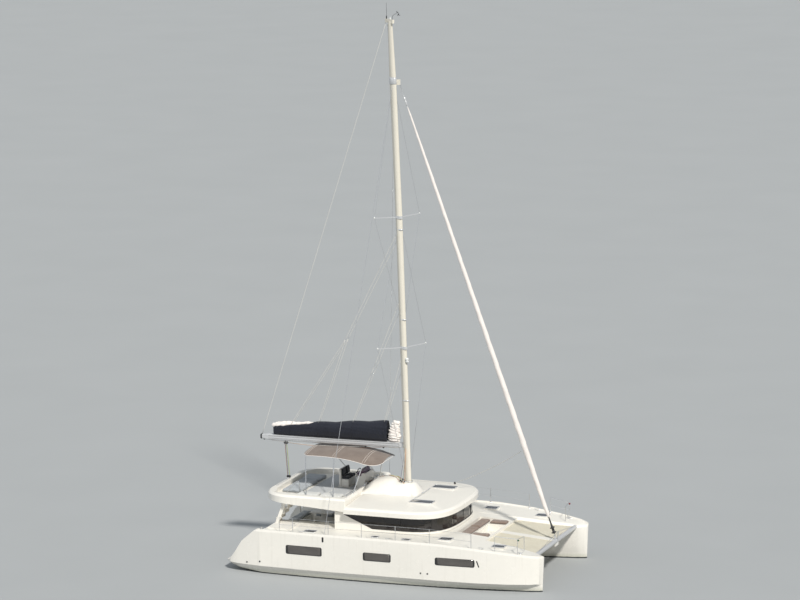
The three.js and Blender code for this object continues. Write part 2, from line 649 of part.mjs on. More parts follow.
// Steps from the starboard deck up to the flybridge: a folded plate.
const TREADS = 5;
function flybridgeSteps() {
  const start = -5080;
  const depth = 165;
  const rise = (FLY_FLOOR - DECK_Z) / TREADS;
  const upper = [];
  const lower = [];
  for (let i = 0; i < TREADS; i += 1) {
    const z = DECK_Z + GAP + rise * i;
    const x = start + depth * i;
    upper.push([x, z], [x, z + rise - GAP * 2]);
    lower.push([x + 45, z - (i ? 45 : 0)], [x + 45, z + rise - 45]);
  }
  const end = start + depth * TREADS - 30;
  upper.push([end, DECK_Z + rise * TREADS - GAP]);
  lower.push([end, DECK_Z + rise * TREADS - 45]);
  const plateAcross = prismAcross([...upper, ...lower.reverse()], FLY_STAIR.y0 + 20, FLY_STAIR.y1 - 20);
  return seated(plateAcross, [bridge, 0, 0, 1]);
}
addPiece('flybridge_steps', flybridgeSteps(), gelcoat);

// Struts that carry the flybridge's aft end: foot and head, to be mirrored.
const STRUT = { foot: [-5000, 2440, DECK_Z + GAP], head: [-4600, 2440, 2900] };
SIDES.forEach(([name, side]) => {
  const [foot, head] = flipY([STRUT.foot, STRUT.head], side);
  const post = loft([foot, head].map(([x, y, z]) =>
    [[-75, -30], [75, -30], [75, 30], [-75, 30]].map(([dx, dy]) => [x + dx, y + dy, z])));
  addPiece(`flybridge_strut_${name}`, seated(post, [fly, 0, 0, -1]), gelcoat);
});

const CONSOLE = { x0: -2420, x1: -2030, y0: 150, y1: 1100, top: 3560 };
const HELM_WHEEL = { x: -2475, y: 620, z: 3420, radius: 290, rim: 16 };

function helmConsole() {
  const { x0, x1, y0, y1, top } = CONSOLE;
  const side = [
    [x0, FLY_FLOOR + GAP], [x1, FLY_FLOOR + GAP], [x1, top + 60], [x1 - 120, top + 60], [x0, top - 110],
  ];
  const { x: wheelX, y, z } = HELM_WHEEL;
  const hub = bar([[x0 + 60, y, z], [wheelX + 22, y, z]], 40, 10);
  return prismAcross(side, y0, y1).add(hub);
}

function helmWheel() {
  const { x, y, z, radius, rim } = HELM_WHEEL;
  const turns = 24;
  const place = (r, k, dx = 0) => {
    const angle = (2 * Math.PI * k) / turns;
    return [x + dx, y + r * Math.cos(angle), z + r * Math.sin(angle)];
  };
  const torus = new THREE.TorusGeometry(radius, rim, 6, turns).rotateY(Math.PI / 2).translate(x, y, z);
  let solid = solidOf(torus).add(bar([[x - 30, y, z], [x + 22 - GAP, y, z]], 45, 12));
  for (const k of [0, 8, 16]) {
    solid = solid.add(bar([place(20, k), place(radius, k)], 10, 6));
  }
  return solid;
}

addPiece('helm_console', helmConsole(), gelcoat);
addPiece('helm_wheel', helmWheel(), steel);
addPiece('helm_seat', join(
  block(-3150, -2760, 150, 1100, FLY_FLOOR + GAP, FLY_FLOOR + 420),
  block(-3230, -3080, 150, 1100, FLY_FLOOR + GAP, FLY_FLOOR + 800)), greyCushion);
addPiece('flybridge_sunpad', block(-5200, -4300, -1480, 1700, FLY_FLOOR + GAP, FLY_FLOOR + 130), greyCushion);

// Bimini: a cambered canopy on a frame of tubes

const CANOPY = { x0: -4300, x1: -900, top: -2950, half: 1260, thick: 24 };
// It falls 70 to its aft edge and 310 to its front, and its camber grows going forward.
function canopyTop(x, y) {
  const aft = Math.max(0, (CANOPY.top - x) / (CANOPY.top - CANOPY.x0));
  const ahead = Math.max(0, (x - CANOPY.top) / (CANOPY.x1 - CANOPY.top));
  const camber = 120 + (160 * (x - CANOPY.x0)) / (CANOPY.x1 - CANOPY.x0);
  return CANOPY_Z - 70 * aft ** 2 - 310 * ahead ** 2.2 - camber * (y / CANOPY.half) ** 2;
}
const CANOPY_TUBE = 20;
// Frame legs, starboard side mirrored: foot on the flybridge, head under the canopy.
const CANOPY_LEGS = [
  { foot: [-3650, 2520, FLY_TOP - 60], head: [-4180, 1200] },
  { foot: [-2450, 2520, FLY_TOP - 60], head: [-2920, 1200] },
  { foot: [-1930, 1600, FLY_TOP - 60], head: [-1600, 1200] },
];
// The hoop under the canopy's front edge, starboard side mirrored.
const CANOPY_HOOP = [[-1600, 1200], [-1160, 900], [-990, 420]];
const bowHeight = (x, y) => canopyTop(x, y) - CANOPY.thick - CANOPY_TUBE + 6;
const canopy = plate(roundedOutline(CANOPY.x0, CANOPY.x1, CANOPY.half, 300, 700, 5), [-2700, 0], canopyTop,
  (x, y) => canopyTop(x, y) - CANOPY.thick, [0.3, 0.6, 0.85, 1]);

function canopyFrame() {
  const bows = CANOPY_LEGS.map(({ foot, head }) => {
    const arc = [-1, -0.6, -0.2, 0.2, 0.6, 1].map((part) => {
      const y = part * head[1];
      return [head[0], y, bowHeight(head[0], y)];
    });
    return bar([[foot[0], -foot[1], foot[2]], ...arc, foot], CANOPY_TUBE, 8);
  });
  const rails = SIDES.map(([, side]) => {
    const y = side * CANOPY_LEGS[0].head[1];
    return bar(CANOPY_LEGS.map(({ head }) => [head[0], y, bowHeight(head[0], y)]), CANOPY_TUBE - 2, 8);
  });
  const front = [...CANOPY_HOOP, ...CANOPY_HOOP.map(([x, y]) => [x, -y]).reverse()];
  const hoop = bar(front.map(([x, y]) => [x, y, bowHeight(x, y)]), CANOPY_TUBE - 2, 8);
  return seated(join(...bows, ...rails, hoop), [fly, 0, 0, 1], [canopy, 0, 0, -1]);
}

addPiece('bimini_canopy', canopy, taupeCloth);
addPiece('bimini_frame', canopyFrame(), steel);

// Mast and standing rigging

// The mast's middle line leans aft and bows forward a little.
function mastAt(z) {
  const up = (z - MAST_FOOT.z) / (MAST_HEAD.z - MAST_FOOT.z);
  return MAST_FOOT.x + (MAST_HEAD.x - MAST_FOOT.x) * up + MAST_BEND * Math.sin(Math.PI * up);
}
const SPREADERS = [
  { name: 'lower', z: 9160, reach: 1160, sweep: 174 },
  { name: 'upper', z: 14640, reach: 1080, sweep: 162 },
];
const TIP_RISE = 30;              // the spreaders' tips stand above their roots
// Half its length and half its breadth, which taper above the hounds
const MAST = { long: 200, wide: 115, headLong: 130, headWide: 80 };
const MAST_SECTIONS = [MAST_FOOT.z, SPREADERS[0].z, SPREADERS[1].z, HOUNDS_Z, MAST_HEAD.z].map((z) => ({
  z, long: z > HOUNDS_Z ? MAST.headLong : MAST.long, wide: z > HOUNDS_Z ? MAST.headWide : MAST.wide,
}));

const turnRadians = (MAST_TURN * Math.PI) / 180;
// A point ahead of and to port of the mast's middle, on the turned mast.
const onMast = (ahead, port, z) => [
  mastAt(z) + ahead * Math.cos(turnRadians) - port * Math.sin(turnRadians),
  ahead * Math.sin(turnRadians) + port * Math.cos(turnRadians),
  z,
];
const turnWithMast = (solid, z) =>
  solid.translate([-mastAt(z), 0, 0]).rotate([0, 0, MAST_TURN]).translate([mastAt(z), 0, 0]);

const ovalRing = (z, long, wide, sides = 16) => Array.from({ length: sides }, (_, k) => {
  const turn = (2 * Math.PI * k) / sides;
  return onMast(long * Math.cos(turn), wide * Math.sin(turn), z);
});

const mastTube = loft(MAST_SECTIONS.map(({ z, long, wide }) => ovalRing(z, long, wide)));
// The boom's pin stands behind the mast's after edge.
const GOOSENECK = { behind: MAST.long + 85, half: 85, plate: 22 };
const [BOOM_PIVOT_X, BOOM_PIVOT_Y] = onMast(-GOOSENECK.behind, 0, BOOM_Z);

function mast() {
  const head = mastAt(MAST_HEAD.z);
  const crane = block(head - 330, head + 260, -45, 45, MAST_HEAD.z - 60, MAST_HEAD.z + 90);
  const middle = mastAt(BOOM_Z);
  const end = middle - GOOSENECK.behind - 50;
  const thick = GOOSENECK.plate / 2;
  const lugs = [-1, 1].map((up) => {
    const z = BOOM_Z + up * (GOOSENECK.half + GAP + thick);
    const arm = block(end, middle, -45, 45, z - thick, z + thick);
    return turnWithMast(arm, BOOM_Z);
  });
  const hounds = mastAt(HOUNDS_Z);
  const tang = block(hounds + 60, hounds + 320, -20, 20, HOUNDS_Z - 60, HOUNDS_Z + 160);
  return join(mastTube, turnWithMast(crane, MAST_HEAD.z), ...lugs, tang);
}
const mastSolid = mast();
addPiece('mast', mastSolid, mastPaint);

// Neighbours for a cut that leaves a gap all round.
const allRound = (solid) => [
  [solid, 1, 0, 0], [solid, -1, 0, 0], [solid, 0, 1, 0], [solid, 0, -1, 0], [solid, 0, 0, 1], [solid, 0, 0, -1],
];

function spreaderPair({ z, reach, sweep }) {
  const collar = loft([z - 60, z + 60].map((height) => ovalRing(height, MAST.long + 25, MAST.wide + 25)));
  const arms = SIDES.map(([, side]) => loft([
    [[-70, -12], [70, -12], [70, 12], [-70, 12]].map(([dx, dz]) => onMast(dx, side * 60, z + dz)),
    [[-40, -10], [40, -10], [40, 10], [-40, 10]].map(([dx, dz]) =>
      onMast(dx - sweep, side * reach, z + TIP_RISE + dz)),
  ]));
  return seated(join(collar, ...arms), ...allRound(mastTube));
}
const spreaders = SPREADERS.map(spreaderPair);
SPREADERS.forEach(({ name }, i) => addPiece(`spreaders_${name}`, spreaders[i], alloy));

const WIRE = 9;
// Two diamonds a side, which cross between the spreaders: where each leaves the mast, over which tip it
// goes, and where it comes back.
const DIAMONDS = [
  { top: HOUNDS_Z - 400, spreader: 1, foot: 10400 },
  { top: 14150, spreader: 0, foot: 3620 },
];
SIDES.forEach(([name, side], i) => {
  const hounds = [mastAt(HOUNDS_Z), side * 100, HOUNDS_Z - 100];
  const foot = [CHAINPLATE.x, side * CHAINPLATE.y, CHAINPLATE.z - 40];
  const shroud = seated(bar([foot, hounds], WIRE, 6), [hulls[i], 0, 0, 1], ...allRound(mastSolid));
  addPiece(`shroud_${name}`, shroud, steel);
  const wires = DIAMONDS.map(({ top, spreader, foot: low }) => {
    const { z, reach, sweep } = SPREADERS[spreader];
    const tip = onMast(-sweep, side * (reach + WIRE + GAP), z + TIP_RISE);
    return bar([onMast(0, side * MAST.wide * 0.9, low), tip, onMast(0, side * MAST.wide * 0.9, top)], WIRE, 6);
  });
  const carriers = [mastSolid, ...spreaders].flatMap(allRound);
  addPiece(`diamond_stay_${name}`, seated(join(...wires), ...carriers), steel);
});

// Boom, stowed mainsail and furled headsail

const BOOM_SECTIONS = [
  { x: BOOM_PIVOT_X - 150, half: 105, up: 130 },
  { x: BOOM_END_X + 300, half: 105, up: 130 },
  { x: BOOM_END_X, half: 80, up: 90 },
];

// The boom's middle line runs from its pin to the boat's middle line at its end.
const boomTurn = (Math.atan2(BOOM_PIVOT_Y, BOOM_PIVOT_X - BOOM_END_X) * 180) / Math.PI;
const alongBoom = (solid) =>
  solid.translate([-BOOM_PIVOT_X, 0, 0]).rotate([0, 0, boomTurn]).translate([BOOM_PIVOT_X, BOOM_PIVOT_Y, 0]);

function boxRing(x, half, low, high, edge) {
  return [
    [x, -half + edge, low], [x, half - edge, low], [x, half, low + edge], [x, half, high - edge],
    [x, half - edge, high], [x, -half + edge, high], [x, -half, high - edge], [x, -half, low + edge],
  ];
}

function boom() {
  const spar = loft(BOOM_SECTIONS.map(({ x, half, up }) => boxRing(x, half, BOOM_Z - up, BOOM_Z + up, 40)));
  const [low, high] = [BOOM_Z - GOOSENECK.half, BOOM_Z + GOOSENECK.half];
  const end = block(BOOM_PIVOT_X - 300, BOOM_PIVOT_X, -60, 60, low, high);
  const knuckle = bar([[BOOM_PIVOT_X, 0, low], [BOOM_PIVOT_X, 0, high]], 60, 12);
  return join(spar, end, knuckle);
}

// The bag along the boom: place, half breadth at the bottom and middle, and height above the boom.
const BAG_SECTIONS = [
  { x: -980, low: 110, wide: 235, high: 880 },
  { x: -2600, low: 110, wide: 250, high: 760 },
  { x: -4400, low: 110, wide: 225, high: 610 },
  { x: -6050, low: 100, wide: 150, high: 400 },
];

function sailBag() {
  const low = BOOM_Z + 130 + GAP;
  return loft(BAG_SECTIONS.map(({ x, low: foot, wide, high }) => [
    [x, -foot, low], [x, foot, low], [x, wide, low + high * 0.35], [x, wide * 0.85, low + high * 0.72],
    [x, wide * 0.3, low + high], [x, -wide * 0.3, low + high], [x, -wide * 0.85, low + high * 0.72],
    [x, -wide, low + high * 0.35],
  ]));
}

function luffStack() {
  const low = BOOM_Z + 130 + GAP;
  return loft([
    boxRing(-975, 150, low, low + 760, 60),
    boxRing(-500, 90, low, low + 640, 40),
  ].map((ring) => ring.map(([x, y, z]) => [x + (x > -700 ? (low - z) * 0.03 : 0), y, z])));
}

addPiece('boom', alongBoom(boom()), alloy);
addPiece('sail_bag', alongBoom(sailBag()), navyCloth);
addPiece('mainsail_luff', alongBoom(luffStack().translate([6 * GAP, 0, 0])), sailCloth);

const TACK = [BEAM_X - 20, 0, BEAM_Z + 210];
const FORESTAY_TOP = [mastAt(HOUNDS_Z) + 260, 0, HOUNDS_Z + 60];
// The furled headsail: how far up the stay, as a share, and its radius.
const GENOA_PROFILE = [
  { up: 0.006, radius: 25 }, { up: 0.012, radius: 110 }, { up: 0.022, radius: 110 }, { up: 0.026, radius: 45 },
  { up: 0.045, radius: 70 }, { up: 0.2, radius: 122 }, { up: 0.5, radius: 100 }, { up: 0.8, radius: 70 },
  { up: 0.94, radius: 35 }, { up: 0.955, radius: 12 },
];

function furledGenoa() {
  const a = new THREE.Vector3(...TACK);
  const length = a.distanceTo(new THREE.Vector3(...FORESTAY_TOP));
  const rows = GENOA_PROFILE.map(({ up, radius }) => [radius, up * length]);
  const profile = [[0, 0], [12, 0], [12, rows[0][1]], ...rows, [12, length], [0, length]];
  return turned(profile, TACK, FORESTAY_TOP, 10);
}

// Bows

function crossbeam() {
  const tube = bar([[BEAM_X, -HULL_Y, BEAM_Z], [BEAM_X, HULL_Y, BEAM_Z]], 90, 12);
  const eye = block(BEAM_X - 50, BEAM_X + 10, -20, 20, BEAM_Z, TACK[2] + 4);
  return seated(tube.add(eye), [hulls[0], 0, 1, 0], [hulls[1], 0, -1, 0]);
}

const beam = crossbeam();
addPiece('crossbeam', beam, alloy);

function longeron() {
  const low = BEAM_Z - 190;
  const outline = [
    [BRIDGE_FRONT + GAP, 1180], [BRIDGE_FRONT + 900, low], [BEAM_X + 60, low], [BEAM_X + 60, BEAM_Z + 30],
    [BEAM_X - 150, BEAM_Z + 60], [BRIDGE_FRONT + GAP, 1620],
  ];
  return prismAcross(outline, -190, 190).subtract(
    bar([[BEAM_X, -400, BEAM_Z], [BEAM_X, 400, BEAM_Z]], 90 + GAP, 12)).subtract(
    block(BEAM_X - 51, BEAM_X + 11, -21, 21, BEAM_Z, BEAM_Z + 900));
}
const spine = longeron();
addPiece('longeron', spine, gelcoat);

const netHeight = (x) => 1620 - ((x - BRIDGE_FRONT) * 190) / (BEAM_X - BRIDGE_FRONT);
SIDES.forEach(([name, side], i) => {
  const x0 = BRIDGE_FRONT + GAP;
  const x1 = BEAM_X - 90 - GAP;
  const across = [side * (190 + GAP), side * 2750].sort((a, b) => a - b);
  const [high, low] = [netHeight(x0), netHeight(x1)];
  const outline = [[x0, high - 14], [x1, low - 14], [x1, low], [x0, high]];
  const net = seated(prismAcross(outline, across[0], across[1]), [hulls[i], 0, -side, 0]);
  addPiece(`trampoline_${name}`, net, netCord);
});

addPiece('furled_genoa', seated(furledGenoa(), [mastSolid, 1, 0, -1], [beam, 0, 0, 1]), sailCloth);

// The striker over the crossbeam takes the forestay's pull.
const STRIKER_TOP = [BEAM_X + 110, BEAM_Z + 420];
function striker() {
  const post = bar([[BEAM_X + 60, 0, BEAM_Z - 20], [STRIKER_TOP[0], 0, STRIKER_TOP[1]]], 24, 8);
  const wires = SIDES.map(([, side]) =>
    bar([[STRIKER_TOP[0], 0, STRIKER_TOP[1] - 8], [BEAM_X + 20, side * 2380, BEAM_Z + 80]], 9, 6));
  return seated(join(post, ...wires), [beam, 0, 0, 1], [beam, 1, 0, 0], [spine, 0, 0, 1], [spine, 1, 0, 0]);
}
addPiece('forestay_striker', striker(), steel);

const ANCHOR = { x: BEAM_X - 700, z: BEAM_Z - 190 };
function anchor() {
  const { x, z } = ANCHOR;
  const shankOutline = [
    [x - 550, z - GAP], [x + 350, z - GAP], [x + 420, z - 60], [x + 250, z - 75], [x - 550, z - 70],
  ];
  const shank = prismAcross(shankOutline, -18, 18);
  const fluke = loft([
    [[x + 380, -15, z - 40], [x + 380, 15, z - 40], [x + 380, 15, z - 70], [x + 380, -15, z - 70]],
    [[x + 180, -170, z - 160], [x + 180, 170, z - 160], [x + 180, 170, z - 185], [x + 180, -170, z - 185]],
    [[x - 30, -40, z - 215], [x - 30, 40, z - 215], [x - 30, 40, z - 235], [x - 30, -40, z - 235]],
  ]);
  return shank.add(fluke);
}
addPiece('anchor', anchor(), steel);

// Rails round the decks

const RAIL_TUBE = 14;
const LIFELINE = 6;
const RAIL_HEIGHT = 620;
// Stanchions along each side: place, and distance outboard of the hull's centreline.
const STANCHIONS = [
  { x: -4340, out: 860 }, { x: -3740, out: 880 }, { x: -2160, out: 900 }, { x: -700, out: 900 },
  { x: 780, out: 895 }, { x: 2260, out: 885 }, { x: 4030, out: 800 },
];
const PULPIT = [
  { x: 5000, out: 660 }, { x: 5900, out: 440 },
];

function guardrail(side) {
  const at = ({ x, out }, z) => [x, side * (HULL_Y + out), z];
  const posts = STANCHIONS.map((post) =>
    bar([at(post, deckHeight(post.x) - 30), at(post, deckHeight(post.x) + RAIL_HEIGHT)], RAIL_TUBE, 8));
  const lines = [RAIL_HEIGHT - 12, RAIL_HEIGHT / 2].map((up) =>
    bar(STANCHIONS.map((post) => at(post, deckHeight(post.x) + up)), LIFELINE, 6));
  return join(...posts, ...lines);
}

function pulpit(side) {
  const at = ({ x, out }, z) => [x, side * (HULL_Y + out), z];
  const [aft, front] = PULPIT;
  const legs = [aft, front].map((leg) => at(leg, deckHeight(leg.x) - 50));
  const heads = [aft, front].map((leg) => at(leg, deckHeight(leg.x) + RAIL_HEIGHT + 40));
  const inner = [front.x + 60, side * (HULL_Y - front.out + 205)];
  const turnDown = [[...inner, heads[1][2] - 40], [...inner, legs[1][2]]];
  const hoop = bar([legs[0], ...heads, ...turnDown], RAIL_TUBE, 8);
  const middle = bar([at(aft, deckHeight(aft.x) + 320), at(front, deckHeight(front.x) + 340)], RAIL_TUBE - 5, 8);
  const post = bar([legs[1], heads[1]], RAIL_TUBE - 3, 8);
  return join(hoop, middle, post);
}

SIDES.forEach(([name, side], i) => {
  addPiece(`guardrail_${name}`, seated(guardrail(side), [hulls[i], 0, 0, 1]), steel);
  addPiece(`pulpit_${name}`, seated(pulpit(side), [hulls[i], 0, 0, 1]), steel);
});

// Cockpit furniture

function lBench() {
  const seat = block(-4700, -2900, 1050, COCKPIT.half - GAP, FLOOR_Z + GAP, FLOOR_Z + 430);
  const leg = block(-3450, -2900, 250, 1060, FLOOR_Z + GAP, FLOOR_Z + 430);
  return seat.add(leg);
}
addPiece('cockpit_settee', lBench(), greyCushion);
addPiece('cockpit_table', join(
  block(-4550, -3550, 100, 950, FLOOR_Z + 690, FLOOR_Z + 730),
  block(-4150, -3950, 430, 620, FLOOR_Z + GAP, FLOOR_Z + 700)), gelcoat);

export default group;
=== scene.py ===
# %% [markdown]
# # A cruising catamaran, afloat with its sails stowed
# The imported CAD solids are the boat's frame: hulls, roofs, spars and wires in metres, with +X at the bow,
# +Y to port and the waterline at z = 0. This script dresses them. It gives every solid a finish worked out
# by nodes, puts finer pieces in place of the soft solids, and adds the gear that a yacht carries.

# %% Load the frame
import json
import math

import bmesh
import bpy
import numpy as np
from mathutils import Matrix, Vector


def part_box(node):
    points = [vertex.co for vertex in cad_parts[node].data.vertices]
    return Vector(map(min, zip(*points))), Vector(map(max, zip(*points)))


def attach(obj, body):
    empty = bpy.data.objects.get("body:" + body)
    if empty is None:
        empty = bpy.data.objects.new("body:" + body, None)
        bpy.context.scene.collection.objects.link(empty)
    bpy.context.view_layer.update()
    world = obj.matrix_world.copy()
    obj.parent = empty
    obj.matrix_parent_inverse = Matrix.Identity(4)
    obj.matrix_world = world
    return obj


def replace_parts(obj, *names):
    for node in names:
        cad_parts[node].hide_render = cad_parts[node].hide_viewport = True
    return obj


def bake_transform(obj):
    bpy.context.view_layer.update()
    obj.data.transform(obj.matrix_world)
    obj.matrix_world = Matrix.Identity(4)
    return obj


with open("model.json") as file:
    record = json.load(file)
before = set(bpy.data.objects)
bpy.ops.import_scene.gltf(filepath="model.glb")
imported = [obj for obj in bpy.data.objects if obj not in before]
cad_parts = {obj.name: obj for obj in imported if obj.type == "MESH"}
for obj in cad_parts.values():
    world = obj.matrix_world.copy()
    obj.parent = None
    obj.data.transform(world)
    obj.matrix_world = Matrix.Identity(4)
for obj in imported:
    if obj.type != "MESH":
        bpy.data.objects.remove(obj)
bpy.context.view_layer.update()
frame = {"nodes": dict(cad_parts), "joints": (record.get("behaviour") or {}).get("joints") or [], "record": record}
NODES = frame["nodes"]
PI = math.pi
SIDES = {"starboard": -1, "port": 1}

# %% [markdown]
# ## Camera
# The photograph was taken from about 170 m away, and higher up, so the boat shows hardly any perspective.
# Its viewpoint was found by fitting a camera to named points of the boat. The same viewpoint is used here,
# with a lens long enough for the boat to fill the frame, and with the photograph's slight tilt to one side.

# %% Camera
CAMERA_PLACE = Vector((57.524, -156.338, 42.082))
CAMERA_AIM = Vector((-0.35, 0.0, 11.15))
LENS = 184
TILT = math.radians(-0.5)

camera = bpy.data.objects.new("camera", bpy.data.cameras.new("camera"))
camera.data.lens = LENS
camera.data.sensor_width = 36
camera.data.clip_end = 2000
camera.location = CAMERA_PLACE
camera.rotation_euler = (CAMERA_AIM - CAMERA_PLACE).to_track_quat("-Z", "Y").to_euler()
camera.rotation_euler.rotate_axis("Z", TILT)
bpy.context.scene.collection.objects.link(camera)
bpy.context.scene.camera = camera
print("camera", round((CAMERA_PLACE - CAMERA_AIM).length, 1), "m away")

# %% [markdown]
# ## Shader maths as expressions
# A material is a net of small nodes. Written link by link it hides its own formula, so one small class
# wraps a socket and overloads the operators: `1 - mask * 0.5` adds its Math nodes by itself.


# %% A socket that can be calculated with
class Value:
    """A shader socket in one material. Arithmetic on it adds Math nodes and gives the result's socket."""

    def __init__(self, paint, socket):
        self.paint = paint
        self.socket = socket

    def _math(self, operation, *others):
        return self.paint.node("ShaderNodeMath", {"operation": operation}, [self, *others])

    def __add__(self, other):
        return self._math("ADD", other)

    def __sub__(self, other):
        return self._math("SUBTRACT", other)

    def __rsub__(self, other):
        return self.paint.node("ShaderNodeMath", {"operation": "SUBTRACT"}, [other, self])

    def __mul__(self, other):
        return self._math("MULTIPLY", other)

    __radd__ = __add__
    __rmul__ = __mul__

    def over(self, edge, soft=0.001):
        """0 below the edge and 1 above it, over a soft step."""
        return self.paint.node("ShaderNodeMapRange", {"interpolation_type": "SMOOTHSTEP"},
                               {"Value": self, "From Min": edge - soft, "From Max": edge + soft})

    def wave(self, length):
        """A sine of the value, from -1 to 1, that repeats every length."""
        return (self * (2 * PI / length))._math("SINE")

    def zigzag(self, length):
        """Up from 0 to the length and down again, over and over."""
        return self._math("PINGPONG", length)


class Paint:
    """One node material with a Principled shader."""

    def __init__(self, name, **settings):
        self.material = bpy.data.materials.new(name)
        self.material.use_nodes = True
        self.tree = self.material.node_tree
        self.shader = self.tree.nodes["Principled BSDF"]
        for socket, value in settings.items():
            self.shader.inputs[socket.replace("_", " ")].default_value = value
        self.place = self.node("ShaderNodeTexCoord", {}, {}, "Object")
        self.x, self.y, self.z = self.parts_of(self.place)

    def node(self, kind, settings, inputs, output=0):
        """Adds a node: its settings first, then the values or links of its sockets, by name or by order."""
        made = self.tree.nodes.new(kind)
        for key, value in settings.items():
            if key == "stops":
                while len(made.color_ramp.elements) < len(value):
                    made.color_ramp.elements.new(0.5)
                for element, (position, color) in zip(made.color_ramp.elements, value):
                    element.position = position
                    element.color = (*color, 1)
            else:
                setattr(made, key, value)
        pairs = inputs.items() if isinstance(inputs, dict) else enumerate(inputs)
        for key, value in pairs:
            socket = made.inputs[key]
            if isinstance(value, Value):
                self.tree.links.new(value.socket, socket)
            else:
                socket.default_value = value
        return Value(self, made.outputs[output])

    def noise(self, scale, detail=3, place=None, stretch=None):
        """Cloudy noise from 0 to 1, with its scale in blotches a metre."""
        where = place or self.place
        if stretch:
            where = self.node("ShaderNodeMapping", {}, {"Vector": where, "Scale": stretch})
        return self.node("ShaderNodeTexNoise", {}, {"Vector": where, "Scale": scale, "Detail": detail}, "Fac")

    def parts_of(self, vector):
        """The x, y and z of a vector."""
        split = self.tree.nodes.new("ShaderNodeSeparateXYZ")
        self.tree.links.new(vector.socket, split.inputs[0])
        return [Value(self, out) for out in split.outputs]

    def upward(self):
        """How far the surface's own direction, in object space, points up."""
        return self.parts_of(self.node("ShaderNodeTexCoord", {}, {}, "Normal"))[2]

    def uv(self):
        """The two directions of the piece's own UV map, in metres."""
        return self.parts_of(self.node("ShaderNodeTexCoord", {}, {}, "UV"))[:2]

    def mix(self, share, low, high):
        """One colour at share 0 and the other at share 1."""
        as_color = [value if isinstance(value, Value) else (*value, 1) for value in (low, high)]
        return self.node("ShaderNodeMix", {"data_type": "RGBA"}, {0: share, 6: as_color[0], 7: as_color[1]}, 2)

    def set(self, **inputs):
        """Links values to the shader's sockets, which are named with underscores for their blanks."""
        for key, value in inputs.items():
            self.tree.links.new(value.socket, self.shader.inputs[key.replace("_", " ")])
        return self

    def bump(self, height, distance, strength=1.0):
        """Relief of so many metres where the height is 1."""
        relief = self.node("ShaderNodeBump", {}, {"Height": height, "Distance": distance, "Strength": strength})
        return self.set(Normal=relief)


# %% [markdown]
# ## Finishes
# Gelcoat is a thick, glossy polyester skin. On a boat that has sailed for some years it is warm white, a
# little chalky in patches and greener near the waterline. Decks are moulded with a fine non-slip pattern
# that is greyer and duller than the smooth borders. One paint does all of that, because it knows from the
# surface's direction where the deck lies flat.

# %% Gelcoat
GELCOAT = (0.83, 0.80, 0.735)
GELCOAT_AGED = (0.70, 0.685, 0.62)
NON_SLIP = (0.70, 0.68, 0.62)
ANTIFOUL = (0.020, 0.024, 0.032)
PATTERN = 0.024        # the non-slip pattern's pitch, in metres


def gelcoat_paint(name, deck=True, antifoul=False):
    """Clean colour, aged in patches and streaks; antifouling below the waterline; non-slip diamonds where the
    surface faces up. A diamond is where two zigzags, along x and along y, add up to more than one alone."""
    paint = Paint(name, Roughness=0.3, Coat_Weight=0.25, Coat_Roughness=0.06, Specular_IOR_Level=0.5)
    patches = paint.noise(0.7, 4) * 0.6 + paint.noise(6, 3) * 0.4
    color = paint.mix(patches.over(0.55, 0.3) * 0.3, GELCOAT, GELCOAT_AGED)
    streaks = paint.noise(1, 3, stretch=(9, 9, 0.5)).over(0.66, 0.12)
    color = paint.mix(streaks * 0.16, color, (0.52, 0.49, 0.42))
    rough = paint.noise(3, 4) * 0.12 + 0.2
    height = paint.noise(2.2, 2) * 0.2
    if antifoul:
        edge = paint.z + (paint.noise(5, 3) - 0.5) * 0.03
        scum = 1 - edge.over(0.17, 0.1)
        color = paint.mix(scum * 0.5, color, (0.42, 0.43, 0.33))
        wet = 1 - edge.over(0.055, 0.004)
        slime = paint.mix(paint.noise(9, 4), ANTIFOUL, (0.05, 0.055, 0.05))
        color = paint.mix(wet, color, slime)
        rough = rough + wet * 0.4
    if deck:
        up = paint.upward().over(0.93, 0.03)
        flat = paint.node("ShaderNodeMix", {}, {0: up, 2: 0.0, 3: 1.0})
        grid = paint.x.zigzag(PATTERN / 2) + paint.y.zigzag(PATTERN / 2)
        diamonds = grid.over(PATTERN / 2, PATTERN / 8)
        color = paint.mix(flat * (diamonds * 0.22 + 0.3), color, NON_SLIP)
        rough = rough + flat * 0.3
        height = height + diamonds * flat
    paint.set(Base_Color=color, Roughness=rough)
    return paint.bump(height, 0.0012, 0.6).material


MATERIALS = {
    "gelcoat": gelcoat_paint("gelcoat", deck=False),
    "deck_gelcoat": gelcoat_paint("deck_gelcoat"),
    "hull_gelcoat": gelcoat_paint("hull_gelcoat", antifoul=True),
}

# %% [markdown]
# ## Dark glass, metals and paint
# The saloon's windows are tinted acrylic in one band, nearly black from outside, with a faint bronze cast.
# Spars are anodised or painted aluminium with fine scratches along them; the rails are polished steel that
# tea-stains at its feet. The keels and rudders wear dull antifouling.

# %% Glass and metals


def glass_paint(name, tint, alpha):
    """Dark acrylic: the tint, twice as pale where cloudy smears are, and hardly any of what lies behind it."""
    paint = Paint(name, Roughness=0.05, Specular_IOR_Level=0.6, Coat_Weight=0.3)
    smears = paint.noise(1.4, 4, stretch=(1, 1, 3))
    paint.set(Base_Color=paint.mix(smears, tint, tuple(c * 2.1 for c in tint)), Roughness=smears * 0.08 + 0.03)
    paint.set(Alpha=smears * 0.06 + alpha)
    paint.material.surface_render_method = "BLENDED"
    return paint.material


